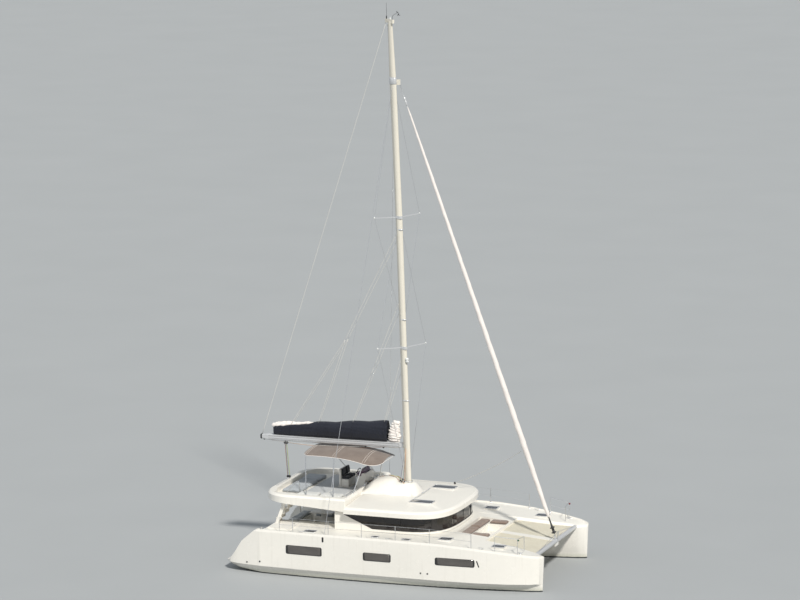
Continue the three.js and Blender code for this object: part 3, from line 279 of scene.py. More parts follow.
def metal_paint(name, color, rough, along=(40, 40, 2), metal=1.0, stain=(0.34, 0.22, 0.12), stained=0.1):
    """Brushed metal or paint: noise stretched along one axis for the scratches, and spots of stain."""
    paint = Paint(name, Metallic=metal)
    brushed = paint.noise(18, 3, stretch=along)
    spots = paint.noise(14, 5).over(0.68, 0.08)
    tone = paint.mix(brushed * 0.7 + paint.noise(1.5, 2) * 0.3, tuple(c * 0.8 for c in color), color)
    paint.set(Base_Color=paint.mix(spots * stained, tone, stain),
              Roughness=brushed * 0.16 + spots * 0.2 + rough)
    return paint.bump(brushed, 0.0003, 0.4).material


MATERIALS |= {
    "dark_glass": glass_paint("dark_glass", (0.011, 0.009, 0.0085), 0.92),
    "hull_glass": glass_paint("hull_glass", (0.060, 0.055, 0.051), 0.93),
    "hatch_acrylic": glass_paint("hatch_acrylic", (0.030, 0.030, 0.033), 0.94),
    "mast_paint": metal_paint("mast_paint", (0.80, 0.755, 0.65), 0.22, metal=0.0, stained=0.15),
    "alloy": metal_paint("alloy", (0.74, 0.745, 0.75), 0.26, along=(2, 40, 40), metal=0.45),
    "steel": metal_paint("steel", (0.82, 0.825, 0.83), 0.2, along=(12, 12, 12), stained=0.25),
    "bronze": metal_paint("bronze", (0.52, 0.36, 0.16), 0.28, stain=(0.10, 0.25, 0.19), stained=0.6),
    "drive_paint": metal_paint("drive_paint", (0.20, 0.21, 0.22), 0.3, metal=0.3, stained=0.3),
    "black_plastic": metal_paint("black_plastic", (0.022, 0.023, 0.025), 0.35, metal=0.0, stained=0.0),
    "lamp_lens": metal_paint("lamp_lens", (0.75, 0.76, 0.74), 0.08, metal=0.0, stained=0.0),
    "antifoul": metal_paint("antifoul", (0.045, 0.05, 0.06), 0.5, metal=0.0, along=(6, 6, 6),
                            stain=(0.16, 0.17, 0.12), stained=0.5),
}

# %% [markdown]
# ## Cloth
# Every cloth here is woven: navy acrylic for the sail bag, taupe for the bimini and the forward seats,
# blue-grey for the flybridge. The weave is two sets of threads that pass over and under each other, so it
# is the product of two waves. It reads the piece's own UV map, which is in metres, so that the threads
# follow the cloth where it curves. What faces up is painted paler, as a painted highlight of the sun on
# its top.

# %% Woven cloth and sailcloth
THREAD = 0.004


def cloth_paint(name, color, faded_and_lit, weave=THREAD, sheen=0.25, rough=0.86):
    """Threads are one wave along u times one along v. Blotches fade; upward faces get a painted highlight; noise
    makes creases.
    """
    paint = Paint(name, Roughness=rough, Sheen_Weight=sheen, Specular_IOR_Level=0.25)
    u, v = paint.uv()
    threads = u.wave(weave) * v.wave(weave) * 0.5 + 0.5
    blotches = paint.noise(2.5, 4) * 0.6 + paint.noise(16, 3) * 0.4
    # Painted highlight: faces that point up are made paler, as if the sun lit the cloth's top. The blotches are
    # real fading.
    up = paint.upward().over(0.45, 0.5)
    tone = paint.mix(blotches.over(0.5, 0.25) * 0.5 + up * 0.5, color, faded_and_lit)
    tone = paint.mix(threads * 0.22, tone, tuple(c * 0.55 for c in color))
    soil = paint.noise(1.1, 5).over(0.62, 0.16)
    paint.set(Base_Color=paint.mix(soil * 0.16, tone, tuple(c * 0.62 for c in faded_and_lit)),
              Roughness=threads * 0.06 + blotches * 0.08 + (rough - 0.1))
    creases = paint.noise(3.2, 3) * 0.7 + paint.noise(11, 2) * 0.3
    return paint.bump(threads * 0.12 + creases, 0.006, 0.35).material


# Each cloth's second colour is its faded tone and also the painted highlight on faces that point up.
MATERIALS |= {
    "bag_cloth": cloth_paint("bag_cloth", (0.010, 0.012, 0.020), (0.018, 0.021, 0.032)),
    "bimini_cloth": cloth_paint("bimini_cloth", (0.125, 0.090, 0.075), (0.25, 0.205, 0.172)),
    "taupe_cushion": cloth_paint("taupe_cushion", (0.185, 0.135, 0.11), (0.29, 0.225, 0.185)),
    "cushion": cloth_paint("cushion", (0.30, 0.325, 0.345), (0.43, 0.455, 0.47)),
    "pale_cushion": cloth_paint("pale_cushion", (0.55, 0.55, 0.52), (0.66, 0.66, 0.63)),
    "dark_cushion": cloth_paint("dark_cushion", (0.035, 0.038, 0.045), (0.07, 0.072, 0.08)),
    "sailcloth": cloth_paint("sailcloth", (0.78, 0.72, 0.68), (0.87, 0.83, 0.78), weave=0.006, sheen=0.05,
                             rough=0.6),
    "net": cloth_paint("net", (0.62, 0.57, 0.44), (0.74, 0.70, 0.58), weave=0.012, sheen=0.1),
    "deck_pad": cloth_paint("deck_pad", (0.44, 0.46, 0.465), (0.55, 0.565, 0.57), weave=0.012, sheen=0.0),
}
print(len(MATERIALS), "materials")

# %% [markdown]
# ## Surfaces as arrays
# A new piece is a grid of points computed in one go by numpy: rows along the piece, columns round it. The
# helper joins neighbours into quads, closes the grid where it goes round, and closes its ends with a fan.


# %% Meshes from grids of points
def closed_and_outward(mesh):
    """Merges the points where a loop meets itself, and turns the faces of a closed form outwards."""
    form = bmesh.new()
    form.from_mesh(mesh)
    if any(len(edge.link_faces) == 1 for edge in form.edges):
        bmesh.ops.remove_doubles(form, verts=form.verts, dist=1e-6)
    if all(len(edge.link_faces) == 2 for edge in form.edges):
        bmesh.ops.recalc_face_normals(form, faces=form.faces)
    form.to_mesh(mesh)
    form.free()


def new_piece(name, points, faces, material, body="boat", slot=None, uv=None, smooth=True):
    """Makes the mesh from an array of points and a list of faces, and puts it on its body."""
    mesh = bpy.data.meshes.new(name)
    mesh.from_pydata(np.asarray(points, float).reshape(-1, 3).tolist(), [], [list(face) for face in faces])
    mesh.polygons.foreach_set("use_smooth", np.full(len(mesh.polygons), smooth))
    if uv is not None:
        layer = mesh.uv_layers.new(name="UVMap")
        corners = np.empty(len(mesh.loops), np.int32)
        mesh.loops.foreach_get("vertex_index", corners)
        layer.data.foreach_set("uv", np.asarray(uv, float).reshape(-1, 2)[corners].ravel())
    closed_and_outward(mesh)
    mesh.materials.append(MATERIALS[material])
    mesh.update()
    piece = bpy.data.objects.new(name, mesh)
    bpy.context.scene.collection.objects.link(piece)
    if body:
        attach(piece, body)
    return piece


def quads(rows, columns, ring=False, ends=False):
    """Faces of a grid: ring joins its last column to the first, ends closes its first and last rows."""
    r, c = np.meshgrid(np.arange(rows - 1), np.arange(columns if ring else columns - 1), indexing="ij")
    beside = (c + 1) % columns
    corners = [r * columns + c, r * columns + beside, (r + 1) * columns + beside, (r + 1) * columns + c]
    faces = np.stack(corners, -1).reshape(-1, 4).tolist()
    if ends:
        faces.append(list(range(columns - 1, -1, -1)))
        faces.append(list(range((rows - 1) * columns, rows * columns)))
    return faces


def ring_quads(rows, columns):
    """Faces of a grid that closes both ways, such as a wheel's rim or a link of chain."""
    return [[index % (rows * columns) for index in face] for face in quads(rows + 1, columns, ring=True)]


# %% Lines, curves and tubes
def arc_lengths(points):
    """How far along its line each point is."""
    steps = np.linalg.norm(np.diff(points, axis=0), axis=1)
    return np.concatenate([[0], np.cumsum(steps)])


def along(points, share):
    """The points at these shares of a line's length."""
    points = np.asarray(points, float)
    far = arc_lengths(points)
    return np.stack([np.interp(np.asarray(share) * far[-1], far, points[:, k]) for k in range(3)], -1)


def smoothed(points, count=60):
    """A curve through the points: a Catmull-Rom spline, a cubic on each stretch from its four neighbours."""
    p = np.asarray(points, float)
    p = np.vstack([2 * p[0] - p[1], p, 2 * p[-1] - p[-2]])
    t = np.linspace(0, len(p) - 3 - 1e-9, count)
    i = t.astype(int)
    f = (t - i)[:, None]
    a, b, c, d = p[i], p[i + 1], p[i + 2], p[i + 3]
    return 0.5 * (2 * b + (c - a) * f + (2 * a - 5 * b + 4 * c - d) * f**2 + (3 * b - a - 3 * c + d) * f**3)


def frames(points):
    """Two directions square to a line at each of its points, from the line's direction and its least axis."""
    tangent = np.gradient(points, axis=0)
    tangent /= np.linalg.norm(tangent, axis=1)[:, None]
    spread = np.ptp(points, axis=0)
    reference = np.eye(3)[int(np.argmin(spread))]
    side = np.cross(tangent, reference)
    side /= np.linalg.norm(side, axis=1)[:, None]
    return side, np.cross(side, tangent)


def tube_points(points, radius, sides=8, flat=1.0):
    """Circles of the radius, or of one radius per point, square to the line: centre + r (cos a, flat sin a)."""
    points = np.asarray(points, float)
    side, over = frames(points)
    angle = np.linspace(0, 2 * PI, sides, endpoint=False)
    r = np.broadcast_to(np.asarray(radius, float), len(points))[:, None, None]
    ring = np.cos(angle)[None, :, None] * side[:, None] + flat * np.sin(angle)[None, :, None] * over[:, None]
    return points[:, None] + r * ring


def joined(parts):
    """Several (points, faces) pairs as one."""
    points, faces, start = [], [], 0
    for part_points, part_faces in parts:
        part_points = np.asarray(part_points, float).reshape(-1, 3)
        points.append(part_points)
        faces += [[index + start for index in face] for face in part_faces]
        start += len(part_points)
    return np.concatenate(points), faces


def one_spot(points):
    """A UV map that is all at one place, for strips too narrow to show their weave."""
    return np.zeros((np.size(points) // 3, 2))


def tube(points, radius, sides=8, flat=1.0):
    """A closed tube along a line, as a (points, faces) pair."""
    made = tube_points(points, radius, sides, flat)
    return made, quads(len(made), sides, ring=True, ends=True)


# %% Turned shapes and boxes
def turned(profile, base, axis, sides=24):
    """A profile of (radius, height) turned round an axis: base + h axis + r (cos a, sin a)."""
    profile = np.asarray(profile, float)
    axis = np.asarray(axis, float) / np.linalg.norm(axis)
    side = np.cross(axis, [0, 0, 1] if abs(axis[2]) < 0.9 else [1, 0, 0])
    side /= np.linalg.norm(side)
    other = np.cross(axis, side)
    angle = np.linspace(0, 2 * PI, sides, endpoint=False)
    ring = np.cos(angle)[:, None] * side + np.sin(angle)[:, None] * other
    points = np.asarray(base) + profile[:, 1, None, None] * axis + profile[:, 0, None, None] * ring
    return points, quads(len(profile), sides, ring=True, ends=True)


def rounded_box(low, high, radius, sections=5):
    """A box with round upright corners and softened upper and lower edges, as rings of one outline.

    The outline is a rectangle with quarter circles; the rings pull in by the edge's own quarter circle."""
    low, high = np.asarray(low, float), np.asarray(high, float)
    angle = np.linspace(0, 2 * PI, 8 * sections, endpoint=False) + PI / (8 * sections)
    quarter = np.stack([np.sign(np.cos(angle)), np.sign(np.sin(angle))], -1)
    half = (high[:2] - low[:2]) / 2
    middle = (high[:2] + low[:2]) / 2
    edge = min(radius, (high[2] - low[2]) / 2)
    turn = np.linspace(0, PI / 2, 4)
    levels = [(low[2] + edge * (1 - math.sin(t)), edge * (1 - math.cos(t))) for t in turn[::-1]]
    levels += [(high[2] - edge * (1 - math.sin(t)), edge * (1 - math.cos(t))) for t in turn]
    rings = []
    for z, inset in levels:
        flat = half - inset
        corner = np.minimum(radius * 1.6, flat)
        xy = middle + quarter * (flat - corner) + np.stack([np.cos(angle), np.sin(angle)], -1) * corner
        rings.append(np.column_stack([xy, np.full(len(xy), z)]))
    return np.stack(rings), quads(len(rings), len(angle), ring=True, ends=True)


# %% [markdown]
# ## The solids' own finishes
# Most solids keep their shape and only get a finish. Those with a deck get the non-slip paint; the hulls
# get the one that turns to antifouling at the waterline.

# %% Finish the solids
SLOT_OF = {part["node"]: part["material_slot"] for part in frame["record"]["subparts"]}
FINISH = SLOT_OF | {"hull_starboard": "hull_gelcoat", "hull_port": "hull_gelcoat"}
FINISH |= dict.fromkeys(["engine_lid_starboard", "engine_lid_port", "bridgedeck", "coachroof", "flybridge",
                         "flybridge_steps", "longeron"], "deck_gelcoat")
for name, node in NODES.items():
    node.data.materials.clear()
    node.data.materials.append(MATERIALS[FINISH[name]])
print("finished", len(NODES), "solids")

# %% [markdown]
# ## Fair skins
# A solid is made of flat facets, and gelcoat is so glossy that every one of them would show. So the large
# mouldings and the mast get a skin of exactly the same shape, which shades as one curved surface wherever
# two facets meet at less than a set corner. The normals are weighted by area, so that flat decks stay flat
# up to their edges.


# %% Skins of the mouldings
def fair_skin(name, corner):
    """The solid's own shape again, smooth where facets meet at less than the corner, in degrees."""
    solid = NODES[name]
    form = bmesh.new()
    form.from_mesh(solid.data)
    bmesh.ops.remove_doubles(form, verts=form.verts, dist=0.0003)
    bmesh.ops.dissolve_limit(form, angle_limit=math.radians(0.4), verts=form.verts, edges=form.edges)
    mesh = bpy.data.meshes.new(f"{name}_skin")
    form.to_mesh(mesh)
    form.free()
    mesh.polygons.foreach_set("use_smooth", np.ones(len(mesh.polygons), bool))
    mesh.set_sharp_from_angle(angle=math.radians(corner))
    mesh.materials.append(solid.data.materials[0])
    skin = bpy.data.objects.new(f"{name}_skin", mesh)
    bpy.context.scene.collection.objects.link(skin)
    level = skin.modifiers.new("weighted", "WEIGHTED_NORMAL")
    level.keep_sharp = True
    bpy.context.view_layer.objects.active = skin
    bpy.ops.object.modifier_apply(modifier=level.name)
    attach(skin, "boat")
    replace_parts(skin, name)


for name, corner in {"hull_starboard": 21, "hull_port": 21, "coachroof": 34, "flybridge": 30,
                     "deckhouse_walls": 34, "mast": 34, "crossbeam": 40}.items():
    fair_skin(name, corner)

# %% [markdown]
# ## Hull windows and through-hull fittings
# Each hull has three long dark windows set flush in the topside, a little vent near the deck's edge and an
# exhaust low down near the stern. The topside is known: its half breadth is a line through a few stations
# along the boat, and it leans in slightly towards the chine. So a window is a rounded rectangle laid on
# that surface, with a raised rubber rim.

# %% The topside, and what is let into it
HULL_Y = 2.97
CHINE = 0.36
DECK = 1.86
SIDE_STATIONS = [(-6.85, 0.42), (-6.65, 0.64), (-6.25, 0.80), (-5.2, 0.96), (-3.0, 1.0), (0.0, 1.0),
                 (2.6, 0.985), (4.2, 0.90), (5.5, 0.70), (6.4, 0.43)]


def deck_height(x):
    """The deck is level as far as x = 1.8 and falls to 1.45 at the stem as the power 1.7."""
    return DECK - 0.41 * np.maximum(0, (np.asarray(x) - 1.8) / 5.02) ** 1.7


def topside(x, z):
    """Distance of the outer topside from the hull's middle line."""
    x_table, half = np.array(SIDE_STATIONS).T
    rise = (z - CHINE) / (deck_height(x) - 0.04 - CHINE)
    return np.interp(x, x_table, half) * (0.985 + 0.015 * rise)


def rounded_outline(half_long, half_high, radius, count=48):
    """Points round a rectangle with quarter-circle corners, about its middle."""
    angle = np.linspace(0, 2 * PI, count, endpoint=False) + PI / count
    corner = np.stack([np.sign(np.cos(angle)), np.sign(np.sin(angle))], -1)
    inner = np.array([half_long - radius, half_high - radius])
    return corner * inner + radius * np.stack([np.cos(angle), np.sin(angle)], -1)


def side_patch(x, z, half_long, half_high, radius, side, levels, slant=0.0):
    """Rings of one outline on the topside; each level is (share of the size, distance proud of the hull).

    Glass bends in one fair curve, so the patch lies on a parabola through the topside, clear of its corners."""
    stretch = np.linspace(x - half_long, x + half_long, 60)
    fair = np.polyfit(stretch, topside(stretch, z), 2)
    clear = np.max(topside(stretch, z) - np.polyval(fair, stretch))
    outline = rounded_outline(half_long, half_high, radius)
    closed = np.column_stack([np.vstack([outline, outline[:1]]), np.zeros(len(outline) + 1)])
    outline = along(closed, np.arange(120) / 120)[:, :2]
    rings = []
    for share, proud in levels:
        px = x + outline[:, 0] * share + outline[:, 1] * share * slant
        pz = z + outline[:, 1] * share
        lean = topside(px, pz) - topside(px, z + 0 * pz)
        half = np.polyval(fair, px) + clear + lean
        rings.append(np.column_stack([px, side * (HULL_Y + half + proud), pz]))
    points = np.stack(rings)
    faces = quads(len(rings), len(outline), ring=True, ends=True)
    return points, (faces if side < 0 else [face[::-1] for face in faces])


# Middle x and z, half length and half height
HULL_WINDOWS = [(-3.22, 1.17, 0.77, 0.18), (0.0, 1.135, 0.585, 0.165), (3.37, 1.175, 0.81, 0.155)]
WINDOW_CORNER = 0.07
SKIN_FITTINGS = [(-5.81, 0.46), (-5.2, 0.55), (1.9, 0.62), (2.2, 0.62)]
FLANGE = [(0.034, 0), (0.034, 0.012), (0.020, 0.016), (0.018, -0.01)]
PANE = [(share, 0.005) for share in (0.02, 0.2, 0.4, 0.6, 0.8, 0.96)] + [(0.96, -0.010)]
RIM = [(1.04, -0.010), (1.04, 0.006), (1.02, 0.010), (0.985, 0.010), (0.955, 0.003), (0.955, -0.010)]
FILLED = RIM[:-1] + [(0.90, 0.003), (0.5, 0.003), (0.02, 0.003)]
for name, side in SIDES.items():
    for what, levels, finish in (("windows", PANE, "hull_glass"), ("window_rims", RIM, "black_plastic")):
        parts = [side_patch(*window, WINDOW_CORNER, side, levels) for window in HULL_WINDOWS]
        new_piece(f"hull_{what}_{name}", *joined(parts), finish, slot="dark_glass")
    slots = [side_patch(-2.37, 1.70, 0.035, 0.10, 0.02, side, FILLED),
             side_patch(4.34, 1.165, 0.02, 0.13, 0.015, side, FILLED, slant=-0.35)]
    slots += [turned(FLANGE, [x, side * (HULL_Y + topside(x, z)), z], [0, side, 0], 20)
              for x, z in SKIN_FITTINGS]
    new_piece(f"hull_fittings_{name}", *joined(slots), "black_plastic", slot="dark_glass")
print("hull windows:", [round(2 * w[2], 2) for w in HULL_WINDOWS], "m long")

# %% [markdown]
# ## Hatches
# A yacht's hatch is a cast frame with a pane of smoked acrylic let into it, two hinges at one edge and two
# turning handles near the other. The solid is only a slab, so a frame and a pane take its place, fitted to
# its box. They ride on the hatch's own body and open with it.


# %% Deck and roof hatches
def hatch_parts(low, high, hinge_x, rim=0.035):
    """A frame round a pane, hinges towards hinge_x, and two handles; low and high are the slab's corners."""
    low, high = np.asarray(low, float), np.asarray(high, float)
    middle = (low + high) / 2
    long, wide = (high - low)[:2] / 2
    outline = rounded_outline(long, wide, 0.07)
    top, bottom = high[2], low[2]
    section = [(0, bottom), (0, top - 0.008), (0.006, top), (rim - 0.006, top), (rim, top - 0.004),
               (rim, bottom)]
    rings = []
    for inset, z in section:
        scale = np.array([1 - inset / long, 1 - inset / wide])
        rings.append(np.column_stack([middle[:2] + outline * scale, np.full(len(outline), z)]))
    rings.append(rings[0])
    frame_part = (np.stack(rings), quads(len(rings), len(outline), ring=True))
    pane = rounded_box(low + [rim, rim, 0.006], high - [rim, rim, 0.007], 0.012)
    hinges = []
    ahead = 1 if hinge_x > middle[0] else -1
    for y in (-0.6, 0.6):
        x = middle[0] + ahead * (long - 0.018)
        line = [[x, middle[1] + y * wide + end, top + 0.004] for end in (-0.035, 0.035)]
        hinges.append(tube(line, 0.010, 10))
    for y in (-0.5, 0.5):
        spot = [middle[0] - ahead * (long - 0.085), middle[1] + y * wide, top - 0.007]
        hinges.append(turned([(0.022, 0), (0.022, 0.008), (0.016, 0.012), (0.001, 0.012)], spot, [0, 0, 1], 20))
    return frame_part, pane, joined(hinges)


JOINT_OF = {joint["child"]: joint for joint in frame["joints"]}
for place in ("hatch_forward", "hatch_middle", "roof_hatch"):
    for name in SIDES:
        node = f"{place}_{name}"
        low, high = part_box(node)
        frame_part, pane, hardware = hatch_parts(low, high, JOINT_OF[node]["pos_m"][0])
        casting = new_piece(f"{node}_frame", *frame_part, "alloy", body=node, slot="dark_glass")
        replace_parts(casting, node)
        new_piece(f"{node}_pane", *pane, "hatch_acrylic", body=node, slot="dark_glass")
        new_piece(f"{node}_hardware", *hardware, "black_plastic", body=node, slot="dark_glass")

# Middle x, distance from the boat's middle line, half length and half breadth
DECK_LIGHTS = [(-3.15, 3.36, 0.27, 0.20), (-0.26, 3.44, 0.17, 0.13), (1.11, 3.46, 0.20, 0.13)]
for name, side in SIDES.items():
    castings, panes = [], []
    for x, y, a, b in DECK_LIGHTS:
        corner = [x - a, side * y - b, DECK - 0.004], [x + a, side * y + b, DECK + 0.020]
        frame_part, pane, hardware = hatch_parts(*corner, x + 1, rim=0.026)
        castings += [frame_part, hardware]
        panes.append(pane)
    new_piece(f"deck_lights_{name}", *joined(castings), "alloy", slot="dark_glass")
    new_piece(f"deck_light_panes_{name}", *joined(panes), "hatch_acrylic", slot="dark_glass")
print("hatches dressed")

# %% [markdown]
# ## Sail bag
# The mainsail drops into a bag that is laced along the boom: two flanks of navy cloth that meet at a zip on
# top. Lazy jacks hold its upper edges, so between them the cloth sags a little, the flanks belly outwards,
# and creases run down from each hold. The bag is one lofted shell. Its girth is a curve through the solid's
# own corners. Everything along the boom is worked out in the boom's own direction and then turned onto it.

# %% The boom's direction
BOOM_PIN = np.array([-0.3152, 0.17936])
BOOM_TURN = math.atan2(BOOM_PIN[1], BOOM_PIN[0] + 6.64)
BOOM_TOP = 5.0903


def on_boom(points):
    """Turns points that are drawn along the middle line onto the boom, about its pin."""
    p = np.array(points, float)
    x, y = p[..., 0] - BOOM_PIN[0], p[..., 1].copy()
    c, s = math.cos(BOOM_TURN), math.sin(BOOM_TURN)
    p[..., 0], p[..., 1] = BOOM_PIN[0] + x * c - y * s, BOOM_PIN[1] + x * s + y * c
    return p


# Stations of the bag: x, half breadth at the foot, greatest half breadth, height above the boom
BAG = np.array([(-6.05, 0.100, 0.150, 0.40), (-4.4, 0.110, 0.225, 0.61), (-2.6, 0.110, 0.250, 0.76),
                (-0.98, 0.110, 0.235, 0.88)])
HOLDS_X = np.array([-5.28, -4.05, -2.52, -1.12])
OPEN_AFT = -4.35       # aft of here the zip is open and the sail shows
LIP = 0.115            # how far the open edges stand apart
SAG = 0.045            # how far the upper edge hangs between two holds


def bag_size(x):
    """Half breadth at the foot, greatest half breadth and height, straight between the stations."""
    return [np.interp(x, BAG[:, 0], BAG[:, k]) for k in (1, 2, 3)]


def ripple(x, seeds, low, high):
    """A sum of sines whose lengths run from low to high, with phases from the seeds."""
    lengths = np.geomspace(low, high, len(seeds))
    return sum(np.sin(2 * PI * x / length + seed) for length, seed in zip(lengths, seeds)) / len(seeds)


# %% Sail bag shell
ROWS, GIRTH = 260, 81
x = np.linspace(-6.05, -0.985, ROWS)[:, None]
g = np.linspace(0, 1, GIRTH)[None, :]
foot, wide, high = bag_size(x)
side = np.where(g < 0.5, -1.0, 1.0)
up = 1 - np.abs(2 * g - 1)                      # 0 at either foot, 1 at the zip
breadth_curve = np.interp(up, [0, 0.18, 0.42, 0.66, 0.85, 0.95, 1], [0, 0.62, 0.99, 0.93, 0.55, 0.22, 0.0])
height_curve = np.interp(up, [0, 0.2, 0.42, 0.66, 0.85, 0.95, 1], [0, 0.16, 0.38, 0.70, 0.92, 0.99, 1.0])
opening = 1 / (1 + np.exp((x - OPEN_AFT) / 0.05))
y = foot + (wide - foot) * breadth_curve - foot * np.clip((up - 0.5) / 0.5, 0, 1) ** 1.5
lip = LIP * opening * np.clip((up - 0.55) / 0.45, 0, 1)
z = high * height_curve
nearest = np.min(np.abs(x - HOLDS_X[None, :]), axis=1)[:, None]
sag = np.clip(nearest / 0.75, 0, 1) ** 1.6
z = z - SAG * sag * np.clip((up - 0.4) / 0.6, 0, 1) - 0.05 * opening * np.clip((up - 0.8) / 0.2, 0, 1)
y = y + 0.014 * sag * np.sin(PI * np.clip(up, 0, 1))
folds = ripple(x + 0.35 * z * np.sign(np.sin(3.1 * x)), [0.3, 2.1, 4.0, 5.3], 0.11, 0.62)
along_crease = ripple(z + 0.12 * x, [1.0, 3.3], 0.14, 0.27)
y = y + (0.011 * folds + 0.006 * along_crease) * np.sin(PI * np.clip(up * 1.05, 0, 1))
shell = np.stack([x + 0 * g, side * (np.maximum(y, 0.004) + lip), BOOM_TOP + z], -1)
uv = np.stack([x + 0 * g, np.cumsum(np.full(shell.shape[:2], 1.6 / GIRTH), axis=1)], -1)
bag = new_piece("sail_bag_cloth", on_boom(shell), quads(ROWS, GIRTH), "bag_cloth", body="boom", uv=uv)
thick = bag.modifiers.new("thickness", "SOLIDIFY")
thick.thickness = 0.005
thick.offset = -1
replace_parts(bag, "sail_bag")


def on_bag(x_place, level, outward=0.004, side_sign=-1):
    """A point on the bag's flank, at a share of the way up from the boom to the zip."""
    girth = level / 2 if side_sign < 0 else 1 - level / 2
    column = int(round(girth * (GIRTH - 1)))
    rows = np.interp(x_place, shell[:, 0, 0], np.arange(ROWS))
    spot = np.stack([np.interp(rows, np.arange(ROWS), shell[:, column, k]) for k in range(3)], -1)
    spot[..., 1] += side_sign * outward
    return spot


seams = []
for side_sign in (-1, 1):
    for level in (0.10, 0.90):
        line = on_bag(np.linspace(-6.02, -1.0, 200), level, 0.003, side_sign)
        seams.append(tube(on_boom(line), 0.008, 6, 0.5))
    for station in HOLDS_X:
        levels = np.linspace(0.12, 0.90, 40)
        line = np.array([on_bag(station, level, 0.003, side_sign) for level in levels])
        seams.append(tube(on_boom(line), 0.018, 6, 0.25))
seam_points, seam_faces = joined(seams)
new_piece("sail_bag_webbing", seam_points, seam_faces, "bag_cloth", body="boom", uv=one_spot(seam_points))
zip_line = np.array([[px, 0, BOOM_TOP + pz + 0.004] for px, pz in
                     zip(x[::4, 0], z[::4, GIRTH // 2]) if px > OPEN_AFT + 0.12])
new_piece("sail_bag_zip", *tube(on_boom(zip_line), 0.011, 8, 0.6), "black_plastic", body="boom",
          slot="bag_cloth")
print("bag:", ROWS * GIRTH, "points")

# %% [markdown]
# ## The stowed mainsail
# The sail lies in the bag in flakes, laid left and right on each other. It shows as white cloth where the
# bag is open aft, and as a stack of flakes against the mast, where its luff is held by cars on the mast's
# track.

# %% Flakes on top of the bag
CHANCE = np.random.default_rng(11)     # one fixed sequence, so that the folds are the same in every run


def sail_fold(middle, x_aft, x_fore, seed):
    """One fold of the sail along the boom: an ellipse, (a cos t, b sin t), that wanders and swells."""
    share = np.linspace(0, 1, 110)[:, None]
    t = np.linspace(0, 2 * PI, 20, endpoint=False)[None, :]
    px = x_aft + (x_fore - x_aft) * share
    taper = np.clip(share / 0.05, 0, 1) ** 0.5 * np.clip((1 - share) / 0.12, 0, 1) ** 0.6
    heap = np.interp(px, [-6.15, -5.9, -5.45, -5.1, -4.3], [0.7, 1.0, 0.95, 0.38, 0.25])
    wander = ripple(px, [seed, 2.3 * seed, 4.1 * seed], 0.32, 1.3)
    swell = 1 + 0.25 * ripple(px, [3.7 * seed, seed + 1], 0.22, 0.6)
    high = bag_size(px)[2] - 0.05 + 0.10 * heap * (1 - (middle / 0.16) ** 2) + 0.016 * wander
    crease = 1 + 0.07 * np.sin(3 * t + 5 * px + seed)
    py = middle * (0.6 + 0.4 * heap) + 0.018 * wander + 0.034 * taper * swell * crease * np.cos(t)
    pz = BOOM_TOP + high + (0.030 + 0.030 * heap) * taper * swell * crease * np.sin(t)
    return np.stack([px + 0 * t, py, pz], -1), quads(110, 20, ring=True, ends=True)


FOLDS = 7
aft_ends, fore_ends = CHANCE.uniform(-6.17, -6.0, FOLDS), CHANCE.uniform(-4.6, -4.2, FOLDS)
seeds = CHANCE.uniform(0.7, 6.0, FOLDS)
folds = [sail_fold(*fold) for fold in zip(np.linspace(-0.125, 0.125, FOLDS), aft_ends, fore_ends, seeds)]
sail_points, sail_faces = joined(folds)
uv = np.stack([sail_points[:, 0], sail_points[:, 1] * 2 + sail_points[:, 2]], -1)
new_piece("mainsail_flakes", on_boom(sail_points), sail_faces, "sailcloth", body="boom", uv=uv)

# %% Luff stack against the mast
def luff_flake(z, thick, girth, forward, sideways, tilt, seed):
    """One flake: a flat cushion of cloth, round at its edges, that droops over the flakes below it."""
    slope = (PI / 2 - 1e-4) * np.linspace(-1, 1, 12)[:, None]
    turn = np.linspace(0, 2 * PI, 72, endpoint=False)[None, :]
    out = np.cos(slope) ** 0.34
    fore = out * np.sign(np.cos(turn)) * np.abs(np.cos(turn)) ** 0.75
    beam = out * np.sign(np.sin(turn)) * np.abs(np.sin(turn)) ** 0.85
    pleats = 1 + 0.045 * np.sin(3 * turn + seed) + 0.02 * np.sin(7 * turn + 2 * seed)
    fall = 0.055 * beam**2 + 0.05 * np.maximum(fore, 0) ** 2 + 0.012 * np.sin(4 * fore + 3 * beam + seed)
    return np.stack([-0.705 + forward + 0.25 * girth * fore * pleats,
                     sideways + 0.135 * girth * beam * pleats,
                     z + 0.66 * thick * np.sin(slope) - fall + tilt * fore], -1)


FLAKES = 16
thickness = CHANCE.uniform(0.04, 0.09, FLAKES)
heights = BOOM_TOP + 0.05 + 0.83 * (np.cumsum(thickness) - thickness / 2) / thickness.sum()
girths = np.interp(heights - BOOM_TOP, [0.05, 0.25, 0.45, 0.65, 0.9], [1.0, 1.14, 0.95, 0.78, 0.62])
pushes = CHANCE.uniform(-0.024, 0.024, (FLAKES, 3))
pushes[:, 0] += 0.10 * (heights - BOOM_TOP) ** 2
seeds = CHANCE.uniform(0, 6, FLAKES)
flakes = [(luff_flake(z, thick, girth, *push, seed), quads(12, 72, ring=True, ends=True))
          for z, thick, girth, push, seed in zip(heights, thickness, girths, pushes, seeds)]
luff_points, luff_faces = joined(flakes)
uv = np.stack([luff_points[:, 0] + luff_points[:, 1], luff_points[:, 2]], -1)
stack = new_piece("mainsail_luff_flakes", on_boom(luff_points), luff_faces, "sailcloth", body="boom", uv=uv)
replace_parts(stack, "mainsail_luff")
print("mainsail:", len(flakes), "flakes at the luff")

# %% [markdown]
# ## Furled headsail
# The headsail is rolled round its stay. The roll is thickest low down, and its cloth edge runs round it in
# a long spiral, with a ripple of tight cloth between the turns. So the radius is the roll's profile plus a
# step that winds round as it climbs. Below it are the furling drum and its line guard.

